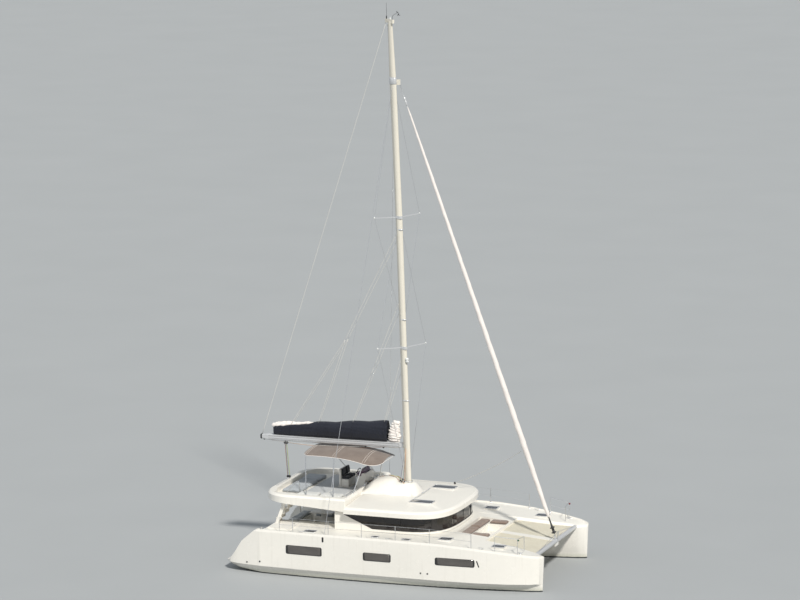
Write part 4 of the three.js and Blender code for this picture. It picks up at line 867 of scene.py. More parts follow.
# %% Furled headsail
TACK = np.array([6.40, 0.0, 1.61])
HEAD = np.array([-0.314, 0.0, 20.26])
STAY = HEAD - TACK
STAY_LONG = float(np.linalg.norm(STAY))
ROLL = [(0.042, 0.030), (0.046, 0.060), (0.055, 0.080), (0.2, 0.118), (0.5, 0.097), (0.8, 0.066), (0.93, 0.036),
        (0.945, 0.014)]


def round_stay(share, radius, turn):
    """Points round the stay: place along it, radius, and angle about it."""
    axis = STAY / STAY_LONG
    beside = np.cross(axis, [0, 1, 0])
    over = np.cross(axis, beside)
    ring = np.cos(turn)[..., None] * beside + np.sin(turn)[..., None] * over
    return TACK + share[..., None] * STAY + radius[..., None] * ring


rows, columns = 620, 40
share, turn = np.meshgrid(np.linspace(0.042, 0.945, rows), np.linspace(0, 2 * PI, columns, endpoint=False),
                          indexing="ij")
radius = np.interp(share, *np.array(ROLL).T)
PITCH = 1.15           # the roll's edge climbs this far in one turn, in metres
phase = (turn / (2 * PI) - share * STAY_LONG / PITCH) % 1.0
edge = np.exp(-((phase - 0.02) / 0.03) ** 2)
radius = radius * (1 + 0.10 * (phase - 0.5) + 0.03 * edge
                   + 0.025 * np.sin(2 * PI * (share * STAY_LONG / 0.31 + 2 * phase)))
uv = np.stack([turn * 0.1, share * STAY_LONG], -1)
roll = new_piece("headsail_roll", round_stay(share, radius, turn), quads(rows, columns, ring=True, ends=True),
                 "sailcloth", slot="sailcloth", uv=uv)
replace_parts(roll, "furled_genoa")
wire_line = np.array([TACK + STAY * s for s in (0.001, 0.03, 0.5, 0.93, 0.9995)])
new_piece("forestay_wire", *tube(wire_line, 0.012, 10), "steel", slot="sailcloth")
drum = [(0.014, 0), (0.05, 0.02), (0.105, 0.05), (0.11, 0.075), (0.055, 0.09), (0.055, 0.24), (0.11, 0.255),
        (0.105, 0.28), (0.045, 0.31), (0.030, 0.55), (0.026, 0.85), (0.014, 0.86)]
new_piece("furling_drum", *turned(drum, TACK + STAY / STAY_LONG * 0.10, STAY, 40), "black_plastic",
          slot="sailcloth")
swivel = [(0.013, 0), (0.036, 0.03), (0.036, 0.20), (0.028, 0.22), (0.036, 0.24), (0.030, 0.36),
          (0.013, 0.38)]
new_piece("halyard_swivel", *turned(swivel, TACK + STAY * 0.948, STAY, 24), "alloy", slot="sailcloth")
print("headsail roll", round(STAY_LONG * 0.9, 1), "m long")

# %% [markdown]
# ## Cushions
# Seat pads are foam in a sewn cover: crowned on top, pulled in along the seams, flat underneath. Each
# starts as a slightly small rounded block, is remeshed into even squares, and is blown up by a short cloth
# simulation, which rounds it as foam does. How far a point may move is capped. Seams come last: sewn
# channels are pressed into the top, and a piping cord runs round the upper edge.

# %% One cushion
SWELL_CAP = 0.022      # how far the cloth may move outwards
ROUNDING = 0.045
PIPING = 0.009


def swollen(piece, voxel):
    """Remeshes the pad and inflates it by cloth simulation, then caps how far each point has moved."""
    bpy.context.view_layer.objects.active = piece
    remesh = piece.modifiers.new("even_squares", "REMESH")
    remesh.mode = "VOXEL"
    remesh.voxel_size = voxel
    bpy.ops.object.modifier_apply(modifier=remesh.name)
    count = len(piece.data.vertices)
    before = np.empty(count * 3)
    piece.data.vertices.foreach_get("co", before)
    before = before.reshape(-1, 3)
    cloth = piece.modifiers.new("cloth", "CLOTH")
    cloth.settings.use_pressure = True
    cloth.settings.uniform_pressure_force = 4
    cloth.settings.effector_weights.gravity = 0
    cloth.settings.quality = 4
    for step in range(1, 15):
        bpy.context.scene.frame_set(step)
    bpy.ops.object.modifier_apply(modifier=cloth.name)
    after = np.empty(count * 3)
    piece.data.vertices.foreach_get("co", after)
    move = after.reshape(-1, 3) - before
    far = np.linalg.norm(move, axis=1, keepdims=True)
    after = before + move * np.minimum(1, SWELL_CAP / np.maximum(far, 1e-9))
    bpy.context.scene.frame_set(1)
    return after
    return before


def cushion(name, low, high, material, channels, across, lean=0.0):
    """A pad between two corners. Sewn channels divide it along the axis across, each pressed in as a bell curve
    of the distance from it; lean tilts the pad about its foot towards +x, in metres over its height."""
    low, high = np.asarray(low, float), np.asarray(high, float)
    pull = np.minimum(SWELL_CAP * 0.8, (high - low) * 0.12)
    pull[2] *= 0.5
    points, faces = rounded_box(low + pull, high - pull, min(ROUNDING, (high[2] - low[2]) * 0.35))
    piece = new_piece(name, points, faces, material, body=None, slot="cushion")
    voxel = 0.024 if (high - low).max() > 0.8 else 0.018
    if name.startswith("saloon"):
        voxel = 0.036          # seen only through the dark glass
    p = swollen(piece, voxel)
    p[:, 2] = np.maximum(p[:, 2], low[2] + 0.001)
    seams = np.linspace(low[across], high[across], channels + 2)[1:-1]
    near = np.min(np.abs(p[:, across, None] - seams), axis=1)
    others = np.delete(np.arange(3), across)
    thin = others[np.argmin((high - low)[others])]
    p[:, thin] -= (p[:, thin] - (low + high)[thin] / 2) * 0.22 * np.exp(-((near / 0.022) ** 2))
    p[:, 0] += lean * (p[:, 2] - low[2]) / (high[2] - low[2])
    piece.data.vertices.foreach_set("co", p.ravel())
    level = piece.modifiers.new("smooth", "SUBSURF")
    level.levels = level.render_levels = 1
    bpy.ops.object.modifier_apply(modifier=level.name)
    mesh = piece.data
    co = np.empty(len(mesh.vertices) * 3)
    mesh.vertices.foreach_get("co", co)
    co = co.reshape(-1, 3)
    mesh.polygons.foreach_set("use_smooth", np.ones(len(mesh.polygons), bool))
    corners = np.empty(len(mesh.loops), np.int32)
    mesh.loops.foreach_get("vertex_index", corners)
    layer = mesh.uv_layers.new(name="UVMap")
    flat = np.column_stack([co[:, 0] + 0.7 * co[:, 2], co[:, 1] + 0.7 * co[:, 2]])
    layer.data.foreach_set("uv", flat[corners].ravel())
    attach(piece, "boat")
    add_piping(name, co, low, high, material)
    return piece


def add_piping(name, co, low, high, material):
    """A cord round the pad's edge: in each direction from the middle, the point that lies furthest out."""
    axes = [a for a in range(3) if a != int(np.argmin(high - low))]
    flat = co[:, axes]
    middle = (flat.min(0) + flat.max(0)) / 2
    half = (flat.max(0) - flat.min(0)) / 2
    angle = np.arctan2((flat[:, 1] - middle[1]) / half[1], (flat[:, 0] - middle[0]) / half[0])
    away = np.linalg.norm((flat - middle) / half, axis=1)
    bins = ((angle + PI) / (2 * PI) * 64).astype(int) % 64
    order = np.lexsort((-away, bins))
    rim = co[order[np.unique(bins[order], return_index=True)[1]]]
    rim = (rim + np.roll(rim, 1, 0) + np.roll(rim, -1, 0)) / 3
    outward = rim[:, axes] - middle
    rim[:, axes] += outward / np.linalg.norm(outward, axis=1, keepdims=True) * 0.004
    made = tube_points(np.vstack([rim[-2:], rim, rim[:3]]), PIPING, 6)[2:-2]
    new_piece(f"{name}_piping", made, quads(len(made), 6, ring=True), material, slot="cushion",
              uv=one_spot(made))


# %% [markdown]
# ## Seats
# The flybridge has a bench to starboard, a big sun pad aft and a two-seat helm bench; the forward cockpit
# has taupe pads on three sides; the aft cockpit and the saloon have L-shaped settees. The soft solids are
# replaced; where a seat is moulded into the deck, only its pads are added.

# %% Flybridge seats
PADS = [
    # name, low corner, high corner, finish, channels, and the axis they divide
    ("flybridge_bench_pad_aft", (-4.17, -2.36, 3.071), (-3.20, -1.77, 3.17), "pale_cushion", 2, 0),
    ("flybridge_bench_pad_front", (-3.18, -2.36, 3.071), (-2.19, -1.77, 3.17), "pale_cushion", 2, 0),
    ("forward_pad_starboard", (3.16, -1.43, 1.661), (3.95, -0.97, 1.76), "taupe_cushion", 1, 0),
    ("forward_pad_port", (3.16, 0.97, 1.661), (3.95, 1.43, 1.76), "taupe_cushion", 1, 0),
    ("forward_pad_aft_starboard", (2.64, -1.43, 1.661), (3.13, -0.01, 1.76), "taupe_cushion", 2, 1),
    ("forward_pad_aft_port", (2.64, 0.01, 1.661), (3.13, 1.43, 1.76), "taupe_cushion", 2, 1),
    ("aft_bench_pad_starboard", (-5.32, -1.28, 1.451), (-4.85, -0.01, 1.55), "cushion", 2, 1),
    ("aft_bench_pad_port", (-5.32, 0.01, 1.451), (-4.85, 1.28, 1.55), "cushion", 2, 1),
]
for name, low, high, finish, channels, across in PADS:
    cushion(name, low, high, finish, channels, across)

pad_low, pad_high = (np.array(corner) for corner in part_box("flybridge_sunpad"))
thirds = np.linspace(pad_low[1], pad_high[1], 4)
for i, name in enumerate(("starboard", "middle", "port")):
    mattress = cushion(f"sunpad_{name}", (pad_low[0], thirds[i] + 0.004, pad_low[2]),
                       (pad_high[0], thirds[i + 1] - 0.004, pad_high[2]), "cushion", channels=2, across=1)
    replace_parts(mattress, "flybridge_sunpad")

# %% Helm seat
seat_low, seat_high = (np.array(corner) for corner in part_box("helm_seat"))
base = joined([rounded_box((-3.14, 0.20, seat_low[2]), (-2.80, 1.05, seat_low[2] + 0.34), 0.03),
               rounded_box((-3.23, 0.16, seat_low[2] + 0.04), (-3.12, 1.09, seat_high[2] - 0.04), 0.03)])
pedestal = new_piece("helm_seat_base", *base, "gelcoat", slot="cushion")
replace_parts(pedestal, "helm_seat")
for i, (y0, y1) in enumerate(((0.16, 0.62), (0.63, 1.09))):
    cushion(f"helm_seat_pad_{i + 1}", (-3.13, y0, seat_low[2] + 0.341), (-2.76, y1, seat_low[2] + 0.44),
            "dark_cushion", channels=1, across=0)
    cushion(f"helm_back_pad_{i + 1}", (-3.13, y0, seat_low[2] + 0.44), (-3.03, y1, seat_high[2]),
            "dark_cushion", channels=2, across=2, lean=-0.04)


# %% Settees
def settee(name, blocks, pads):
    """A moulded base under loose pads, in place of the solid of that name."""
    made = joined([rounded_box(low, high, 0.02) for low, high in blocks])
    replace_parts(new_piece(f"{name}_base", *made, "gelcoat", slot="cushion"), name)
    for i, (low, high, across) in enumerate(pads):
        cushion(f"{name}_pad_{i + 1}", low, high, "cushion", channels=2, across=across)


settee("cockpit_settee",
       [((-4.70, 1.05, 1.051), (-2.90, 1.759, 1.38)), ((-3.45, 0.25, 1.051), (-2.90, 1.05, 1.38))],
       [((-4.69, 1.06, 1.381), (-3.82, 1.66, 1.48), 0), ((-3.80, 1.06, 1.381), (-2.92, 1.66, 1.48), 0),
        ((-3.43, 0.27, 1.381), (-2.92, 1.04, 1.48), 1),
        ((-4.69, 1.66, 1.40), (-3.82, 1.755, 1.80), 0), ((-3.80, 1.66, 1.40), (-2.92, 1.755, 1.80), 0)])
settee("saloon_settee",
       [((0.30, -0.30, 1.051), (1.85, 1.70, 1.40)), ((1.72, -0.30, 1.40), (1.85, 1.70, 1.88)),
        ((-0.10, 0.30, 1.71), (0.25, 1.30, 1.75)), ((0.00, 0.70, 1.051), (0.12, 0.90, 1.72))],
       [((0.32, -0.28, 1.401), (1.60, 0.69, 1.50), 0), ((0.32, 0.71, 1.401), (1.60, 1.68, 1.50), 0),
        ((1.60, -0.28, 1.46), (1.71, 0.69, 1.88), 1), ((1.60, 0.71, 1.46), (1.71, 1.68, 1.88), 1)])
print("cushions made")

# %% [markdown]
# ## Bimini canopy
# The canopy is one sheet of acrylic cloth, stretched over three tube bows and a front hoop. Its height
# follows the solid's own formula, and between the bows the cloth hangs a little. A square grid is bent onto
# the rounded plan, so the sheet stays one surface. Welts show where it is sewn over each bow.

# %% Canopy sheet
CANOPY_X, CANOPY_HALF, CANOPY_CREST = (-4.30, -0.90), 1.26, -2.95
BOWS = np.array([-4.18, -2.92, -1.60, -0.99])
SLACK = 0.018          # how far the cloth hangs between two bows


def canopy_height(x, y):
    """4.77 at the crest, 0.07 lower aft, 0.31 lower ahead as the power 2.2, and a camber that grows forward."""
    aft = np.maximum(0, (CANOPY_CREST - x) / 1.35)
    ahead = np.maximum(0, (x - CANOPY_CREST) / 2.05)
    camber = 0.12 + 0.16 * (x + 4.30) / 3.40
    return 4.77 - 0.07 * aft**2 - 0.31 * ahead**2.2 - camber * (y / CANOPY_HALF) ** 2


def canopy_edge(x):
    """Half breadth of the plan: corners of radius 0.3 aft and 0.7 ahead."""
    aft = np.clip((CANOPY_X[0] + 0.30 - x) / 0.30, 0, 1)
    ahead = np.clip((x - (CANOPY_X[1] - 0.70)) / 0.70, 0, 1)
    return CANOPY_HALF - 0.30 * (1 - np.sqrt(1 - aft**2)) - 0.70 * (1 - np.sqrt(1 - ahead**2))


def canopy_stations(share):
    """Stations along the canopy, closer together towards both ends, where the plan turns: a cosine."""
    return CANOPY_X[0] + (CANOPY_X[1] - CANOPY_X[0]) * (0.5 - 0.5 * np.cos(PI * share))


rows, columns = 150, 90
x = canopy_stations(np.linspace(0, 1, rows))[:, None]
part = np.linspace(-1, 1, columns)[None, :]
y = canopy_edge(x) * part
gap = np.min(np.abs(x - BOWS[None, :]), axis=1)[:, None]
droop = SLACK * np.clip(gap / 0.55, 0, 1) ** 1.5 * (1 - part**4)
pucker = 0.0025 * ripple(x, [0.3, 1.9, 4.1], 0.06, 0.19) * np.clip((np.abs(part) - 0.8) / 0.2, 0, 1)
hem = 0.030 * np.clip((np.abs(part) - 0.975) / 0.025, 0, 1)
sheet_points = np.stack([x + 0 * y, y, canopy_height(x, y) - 0.010 - droop + pucker - hem], -1)
canopy = new_piece("bimini_sheet", sheet_points, [face[::-1] for face in quads(rows, columns)], "bimini_cloth",
                   uv=sheet_points[..., :2])
cloth_thickness = canopy.modifiers.new("thickness", "SOLIDIFY")
cloth_thickness.thickness = 0.003
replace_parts(canopy, "bimini_canopy")
welts = []
for bow in BOWS[:3]:
    for shift in (-0.045, 0.045):
        y = np.linspace(-1, 1, 60) * (canopy_edge(bow) - 0.03)
        gap = np.min(np.abs(bow + shift - BOWS))
        z = canopy_height(bow + shift, y) - 0.0085 - SLACK * (gap / 0.55) ** 1.5
        welts.append(tube(np.column_stack([np.full(60, bow + shift), y, z]), 0.007, 6, 0.5))
x = canopy_stations(np.linspace(0.004, 0.996, 120))
rim_line = []
for side in (-1, 1):
    y = side * canopy_edge(x)
    rim_line.append(np.column_stack([x, y, canopy_height(x, y) - 0.040])[::-side])
rim_line = np.vstack([*rim_line, rim_line[0][:1]])
welts.append(tube(rim_line, 0.011, 8))
welt_points, welt_faces = joined(welts)
binding = new_piece("bimini_welts", welt_points, welt_faces, "sailcloth", slot="bimini_cloth",
                    uv=one_spot(welt_points))

# %% [markdown]
# ## Trampolines
# Between the bows hang two nets of pale webbing, woven over and under, laced to the hulls, the beam and the
# longeron. Each band is a flat ribbon with its height waved by half a thickness, so that the bands really
# pass over each other: neighbours are a half wave apart.

# %% Nets
NET_PITCH = 0.062
NET_BAND = 0.034
NET_WAVE = 0.0028      # a band's rise and fall as it passes over and under
NET_X = (4.053, 6.325)
NET_INNER = 0.20       # the inner edge's distance from the middle line


def ribbon(line, width_direction, width, thickness=0.004):
    """A flat band along a line: four corners about each of its points."""
    line = np.asarray(line, float)
    w = np.asarray(width_direction, float) * width / 2
    t = np.array([0, 0, thickness / 2])
    ring = np.stack([line - w - t, line + w - t, line + w + t, line - w + t], axis=1)
    return ring, quads(len(line), 4, ring=True, ends=True)


def net_height(x):
    """The nets lie in one plane, from 1.62 at their aft end down to 1.43 at the beam."""
    return 1.62 - (x - 4.05) * 0.19 / 2.37


def hull_inside(x):
    """Distance from the middle line of the inner edge of the hull's deck."""
    inner = np.interp(x, [2.6, 4.2, 5.5, 6.4, 6.72], [1.0, 0.90, 0.70, 0.43, 0.21])
    return HULL_Y - inner


def band_points(start, end):
    """Two places to each pitch, so that a wave of one pitch keeps its crests."""
    return np.linspace(start, end, int((end - start) / NET_PITCH * 2) + 2)


for name, side in SIDES.items():
    parts = []
    for i, x in enumerate(np.arange(NET_X[0] + 0.05, NET_X[1] - 0.03, NET_PITCH)):
        y = band_points(NET_INNER, hull_inside(x) - 0.02)
        wave = NET_WAVE * np.cos(PI * (y - NET_INNER) / NET_PITCH + PI * i)
        line = np.column_stack([np.full_like(y, x), side * y, net_height(x) - 0.010 + wave])
        parts.append(ribbon(line, (1, 0, 0), NET_BAND))
    for j, y in enumerate(np.arange(NET_INNER + NET_PITCH, 2.50, NET_PITCH)):
        reach = np.linspace(NET_X[0] + 0.01, NET_X[1] - 0.005, 200)
        inside = reach[hull_inside(reach) - 0.015 > y]
        if len(inside) < 8:
            continue
        x = band_points(inside[0], inside[-1])
        wave = -NET_WAVE * np.cos(PI * (x - NET_X[0] - 0.05) / NET_PITCH + PI * j)
        line = np.column_stack([x, np.full_like(x, side * y), net_height(x) - 0.010 + wave])
        parts.append(ribbon(line, (0, 1, 0), NET_BAND))
    net = new_piece(f"net_{name}", *joined(parts), "net", smooth=False)
    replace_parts(net, f"trampoline_{name}")
    print(f"net_{name}:", len(net.data.vertices), "points")
    x = np.linspace(NET_X[0] + 0.015, NET_X[1] - 0.01, 50)
    hems = [ribbon(np.column_stack([x, side * y, net_height(x) - 0.004]), (0, 1, 0), 0.05, 0.008)
            for y in (hull_inside(x) - 0.03, np.full(50, 0.215))]
    for x in (NET_X[0] + 0.025, NET_X[1] - 0.02):
        y = np.linspace(NET_INNER, hull_inside(x) - 0.02, 30)
        line = np.column_stack([np.full(30, x), side * y, np.full(30, net_height(x) - 0.004)])
        hems.append(ribbon(line, (1, 0, 0), 0.05, 0.008))
    new_piece(f"net_hem_{name}", *joined(hems), "net", smooth=False)

# %% [markdown]
# ## Rope
# Running rigging is braided rope: two families of strands that cross at a slant. The pattern reads the
# piece's own UV map, with u round the rope and v along it, both in metres.


# %% Rope and its finish
def rope_paint(name, color, fleck, strand=0.010):
    """A braid is the product of two waves, one along u + v and one along u - v; its crests carry the fleck."""
    paint = Paint(name, Roughness=0.8, Specular_IOR_Level=0.25)
    u, v = paint.uv()
    braid = (u + v).wave(strand) * (u - v).wave(strand) * 0.5 + 0.5
    dirt = paint.noise(2.0, 3)
    tone = paint.mix(braid.over(0.8, 0.1) * 0.8, color, fleck)
    paint.set(Base_Color=paint.mix(dirt.over(0.6, 0.2) * 0.25, tone, tuple(c * 0.5 for c in color)))
    return paint.bump(braid, 0.0012, 0.7).material


MATERIALS |= {
    "white_rope": rope_paint("white_rope", (0.72, 0.70, 0.64), (0.30, 0.33, 0.36)),
    "orange_rope": rope_paint("orange_rope", (0.62, 0.23, 0.05), (0.75, 0.62, 0.45)),
    "lime_rope": rope_paint("lime_rope", (0.42, 0.50, 0.08), (0.65, 0.66, 0.45)),
    "navy_rope": rope_paint("navy_rope", (0.025, 0.035, 0.075), (0.4, 0.4, 0.42)),
}


def rope(name, lines, radius, material, body="boat", slot="sailcloth", sides=8):
    """Round ropes along lines, as one piece, with a UV map in metres."""
    round_it = np.arange(sides) * 2 * PI * radius / sides
    maps = [np.stack(np.meshgrid(round_it, arc_lengths(line)), -1).reshape(-1, 2) for line in lines]
    parts = [tube(line, radius, sides) for line in lines]
    return new_piece(name, *joined(parts), material, body=body, slot=slot, uv=np.concatenate(maps))


def straight(a, b, count=24, sag=0.0):
    """A line between two points that hangs by sag in its middle, as a parabola."""
    t = np.linspace(0, 1, count)[:, None]
    line = np.asarray(a, float) * (1 - t) + np.asarray(b, float) * t
    line[:, 2] -= 4 * sag * t[:, 0] * (1 - t[:, 0])
    return line


# %% [markdown]
# ## The mast's own gear
# The mast stands turned on its foot, so everything on it is placed by how far ahead of the mast's middle
# and to which side it is, and is turned with it. It carries a track for the sail's cars, masthead lights
# and wind gear, a steaming light below the lower spreaders, tips on the spreaders and fittings where the
# wires leave it.

# %% Where things are on the mast
MAST_TURN = math.radians(-39)
MAST_BASE, MAST_TOP = 3.46, 22.74


def mast_line(z):
    """The mast's middle leans 0.62 aft over its height and bows 0.06 forward at half height."""
    up = (np.asarray(z, float) - MAST_BASE) / (MAST_TOP - MAST_BASE)
    return -0.06 - 0.62 * up + 0.06 * np.sin(PI * up)


def on_mast(ahead, port, z):
    """A place ahead of the mast's middle and to its port side, turned with the mast by its own angle."""
    ahead, port, z = np.broadcast_arrays(*(np.asarray(value, float) for value in (ahead, port, z)))
    c, s = math.cos(MAST_TURN), math.sin(MAST_TURN)
    return np.stack([mast_line(z) + ahead * c - port * s, ahead * s + port * c, z], -1)


def box_about(middle, half, radius):
    """A rounded box about its middle."""
    return rounded_box(np.subtract(middle, half), np.add(middle, half), radius)


cars = [box_about(on_mast(-0.225, 0, z), (0.03, 0.03, 0.035), 0.01) for z in np.arange(5.32, 6.05, 0.085)]
new_piece("mast_track", *tube(on_mast(-0.203, 0, np.linspace(5.15, 22.60, 60)), 0.016, 4), "alloy",
          slot="mast_paint")
new_piece("mast_track_cars", *joined(cars), "black_plastic", slot="mast_paint")

# %% Masthead, lights and spreader tips
UP = np.array([0, 0, 1.0])
MAST_CAP = 22.83
AERIAL = [(0.022, 0), (0.022, 0.10), (0.012, 0.13), (0.007, 0.15), (0.004, 0.66), (0.001, 0.67)]
HUB = [(0.018, 0), (0.020, 0.03), (0.012, 0.06), (0.001, 0.065)]
CUP = [(0.004, 0), (0.016, 0.008), (0.016, 0.022), (0.004, 0.03)]
vane = on_mast(0.20, 0, MAST_CAP)
arm = smoothed([vane, vane + [0.02, 0, 0.16], vane + [0.18, -0.10, 0.26], vane + [0.36, -0.24, 0.27]], 30)
gear = [turned(AERIAL, on_mast(-0.27, 0, MAST_CAP), UP, 12), tube(arm, 0.007, 8),
        turned(HUB, arm[-1] - [0, 0, 0.03], UP, 16)]
fin = arm[-1] + np.array([[-0.12, 0.08, 0.05], [0.0, 0.0, 0.05], [0.0, 0.0, 0.053], [-0.12, 0.08, 0.11]])
gear.append((np.stack([fin, fin + [0.003, 0.004, 0]]), quads(2, 4, ring=True, ends=True)))
for angle in np.arange(3) * 2 * PI / 3:
    cup = arm[-1] + np.array([0.05 * math.cos(angle), 0.05 * math.sin(angle), -0.045])
    gear.append(turned(CUP, cup - [0, 0, 0.015], UP, 10))
    gear.append(tube(straight(arm[-1] - [0, 0, 0.045], cup, 3), 0.003, 6))
new_piece("masthead_wind_gear", *joined(gear), "black_plastic", slot="mast_paint")
ANCHOR_LIGHT = [(0.035, 0), (0.036, 0.02), (0.031, 0.024), (0.031, 0.075), (0.034, 0.078), (0.030, 0.095),
                (0.001, 0.10)]
new_piece("masthead_light", *turned(ANCHOR_LIGHT, on_mast(0.02, 0, MAST_CAP), UP, 24), "lamp_lens",
          slot="mast_paint")

lamp = on_mast(0.20, 0, 8.60)
ahead = on_mast(1.0, 0, 8.6) - on_mast(0, 0, 8.6)
HOUSING = [(0.001, 0), (0.05, 0.0), (0.075, 0.03), (0.075, 0.09), (0.055, 0.12), (0.001, 0.125)]
REFLECTOR = [(0.065, -0.02), (0.070, 0.02), (0.055, 0.07), (0.03, 0.12), (0.001, 0.125)]
lamp_parts = [turned(HOUSING, lamp + [0, 0, 0.03], UP + ahead * 0.2, 20), turned(REFLECTOR, lamp, ahead, 24)]
new_piece("steaming_light", *joined(lamp_parts), "lamp_lens", slot="mast_paint")

COLLAR = [(0.90, 0.0), (1.0, 0.1), (1.0, 0.9), (0.90, 1.0)]
angle = np.linspace(0, 2 * PI, 40, endpoint=False)
collars = []
for z, radius, height in ((20.16, 0.217, 0.30), (10.32, 0.214, 0.06), (14.10, 0.214, 0.06), (6.9, 0.214, 0.05),
                          (3.475, 0.27, 0.03)):
    rings = [on_mast(radius * grow * np.cos(angle), (radius - 0.085) * grow * np.sin(angle), z + height * level)
             for grow, level in COLLAR]
    collars.append((np.stack(rings), ring_quads(4, 40)))
new_piece("mast_collars", *joined(collars), "alloy", slot="mast_paint")
tips = []
for z, reach, sweep in ((9.19, 1.16, 0.174), (14.67, 1.08, 0.162)):
    for side in SIDES.values():
        spot = on_mast(-sweep, side * (reach + 0.004), z)
        line = [spot + UP * height for height in (-0.045, -0.03, 0.0, 0.03, 0.045)]
        tips.append(tube(line, (0.010, 0.026, 0.034, 0.026, 0.010), 14))
new_piece("spreader_tip_boots", *joined(tips), "lamp_lens", slot="alloy")
print("mast gear done")

# %% [markdown]
# ## Running rigging that follows the boom
# The topping lift and the lazy jacks run from the mast to the boom and its bag, and the mainsheet from the
# boom down to a traveller aft on the flybridge. These lines cross the boom's joint; each is drawn for the
# boom as it lies, and is put on no body.


# %% Topping lift and lazy jacks
def across_joint(piece):
    """Bakes the piece's placement into its points; the piece is put on no body."""
    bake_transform(piece)


lift_line = straight(on_mast(-0.30, 0, 22.72), on_boom([-6.60, 0, 5.07]), 60)
lift = rope("topping_lift", [lift_line], 0.009, "white_rope", body=None)
across_joint(lift)

RING = (0.006, 0.016, 0.018, 0.016, 0.006)      # radii down a low-friction ring, where the lines part
JACKS = [
    # name, height and side of the mast end, share of the way down to the ring, the stations below it
    ("aft", 13.9, 0.10, 0.55, (-5.28, -4.05)),
    ("middle", 11.0, 0.11, 0.60, (-2.52,)),
    ("forward", 8.6, 0.11, 0.50, (-1.12,)),
]
for name, top_z, aside, ring_share, stations in JACKS:
    lines, rings = [], []
    for side in SIDES.values():
        top = on_mast(-0.12, side * aside, top_z)
        feet = [on_boom(on_bag(station, 0.90, 0.012, side)) for station in stations]
        meet = top + (np.mean(feet, axis=0) - top) * ring_share
        lines.append(straight(top, meet, 40))
        lines += [straight(meet, foot, 30) for foot in feet]
        rings.append(tube(straight(meet + [0, 0, 0.03], meet - [0, 0, 0.03], 5), RING, 10))
    jack = rope(f"lazy_jack_{name}", lines, 0.008, "white_rope", body=None, sides=6)
    across_joint(jack)
    new_piece(f"lazy_jack_rings_{name}", *joined(rings), "steel", body="boom", slot="steel")

# %% Mainsheet and its traveller
sheet_top = on_boom([-5.56, 0, 4.83])
CAR = np.array([-5.48, 0.10, 3.20])
PARTS = [("orange_rope", -0.035, 0.0), ("lime_rope", 0.035, 0.02), ("navy_rope", 0.0, -0.03),
         ("white_rope", 0.01, 0.04)]
for i, (material, dx, dy) in enumerate(PARTS):
    line = straight(CAR + [dx * 1.2, dy * 1.4, 0.10], sheet_top + [dx, dy, -0.14], 30)
    across_joint(rope(f"mainsheet_{i + 1}", [line], 0.0075, material, body=None))


def block(spot, axis, radius, width):
    """A pulley: two round cheeks over a sheave, turned about its pin."""
    axis = np.asarray(axis, float) / np.linalg.norm(axis)
    cheek = np.array([(0.001 / radius, 0), (0.8, 0), (1, 0.15), (1, 0.3), (0.75, 0.42)])
    profile = np.vstack([cheek, (cheek * [1, -1] + [0, 1])[::-1]]) * [radius, width]
    return turned(profile, np.asarray(spot) - axis * width / 2, axis, 20)


BEAM = np.array([0, 1, 0])       # across the boat, as most of the blocks' pins lie
BOOM_MIDDLE = 4.96
boom_gear = [block(sheet_top + [dx, 0, -0.09], BEAM, 0.055, 0.06) for dx in (-0.03, 0.06)]
boom_gear.append(tube(straight(sheet_top + [0, 0, 0.03], sheet_top + [0, 0, -0.06], 4), 0.012, 8))
boom_gear += [block(on_boom(spot), BEAM, 0.035, 0.04) for spot in
              ((-6.52, 0, 4.84), (-2.0, 0, 4.80), (-1.2, 0, 4.80))]
ring = rounded_outline(0.088, 0.098, 0.03)
cap = [np.column_stack([np.full(48, x), ring[:, 0] * grow, BOOM_MIDDLE + ring[:, 1] * grow])
       for x, grow in ((-6.60, 1.04), (-6.645, 1.04), (-6.665, 0.93), (-6.67, 0.3))]
boom_gear.append((on_boom(cap), quads(4, 48, ring=True, ends=True)))
new_piece("boom_blocks_and_cap", *joined(boom_gear), "black_plastic", body="boom", slot="alloy")
for name, y, x_fore, sag, material in (("reef_lines", -0.03, -2.0, 0.10, "white_rope"),
                                       ("outhaul", 0.03, -1.2, 0.16, "orange_rope")):
    line = on_boom(straight((-6.5, y, 4.845), (x_fore, y, 4.80), 40, sag))
    rope(name, [line], 0.006, material, body="boom", slot="alloy")
corners = [(y, BOOM_MIDDLE + rise) for y in (-0.1065, 0.1065) for rise in (-0.05, 0.05)]
grooves = [tube(on_boom(straight((-6.3, y, z), (-0.5, y, z), 30)), 0.005, 6) for y, z in corners]
new_piece("boom_grooves", *joined(grooves), "black_plastic", body="boom", slot="alloy")

rail = straight((CAR[0], -1.25, 3.172), (CAR[0], 1.25, 3.172), 40)
traveller = [ribbon(rail, (1, 0, 0), 0.045, 0.022),
             rounded_box(CAR - [0.05, 0.09, 0.018], CAR + [0.05, 0.09, 0.02], 0.012)]
new_piece("mainsheet_traveller", *joined(traveller), "alloy", slot="gelcoat")
car_blocks = [block(CAR + [dx, 0, 0.07], BEAM, 0.05, 0.06) for dx in (-0.03, 0.05)]
new_piece("mainsheet_car_block", *joined(car_blocks), "black_plastic", slot="gelcoat")
print("running rigging done")

# %% [markdown]
# ## Mast foot, headsail sheet and winches
# Halyards come out of the mast near its foot, turn through blocks and run aft over the fairing to clutches
# and winches in front of the helm. The headsail's sheet drops from the clew, high on the roll, to a block
# on the roof's port edge.


# %% Lines over the coachroof
def roof_height(x, y):
    """The coachroof: crowned 0.15 across and falling ahead as the power 2.2."""
    ahead = np.maximum(0, (np.asarray(x) + 0.6) / 3.16) ** 2.2
    return 2.86 + 0.15 * (1 - (np.asarray(y) / 2.93) ** 2) * (1 - ahead)


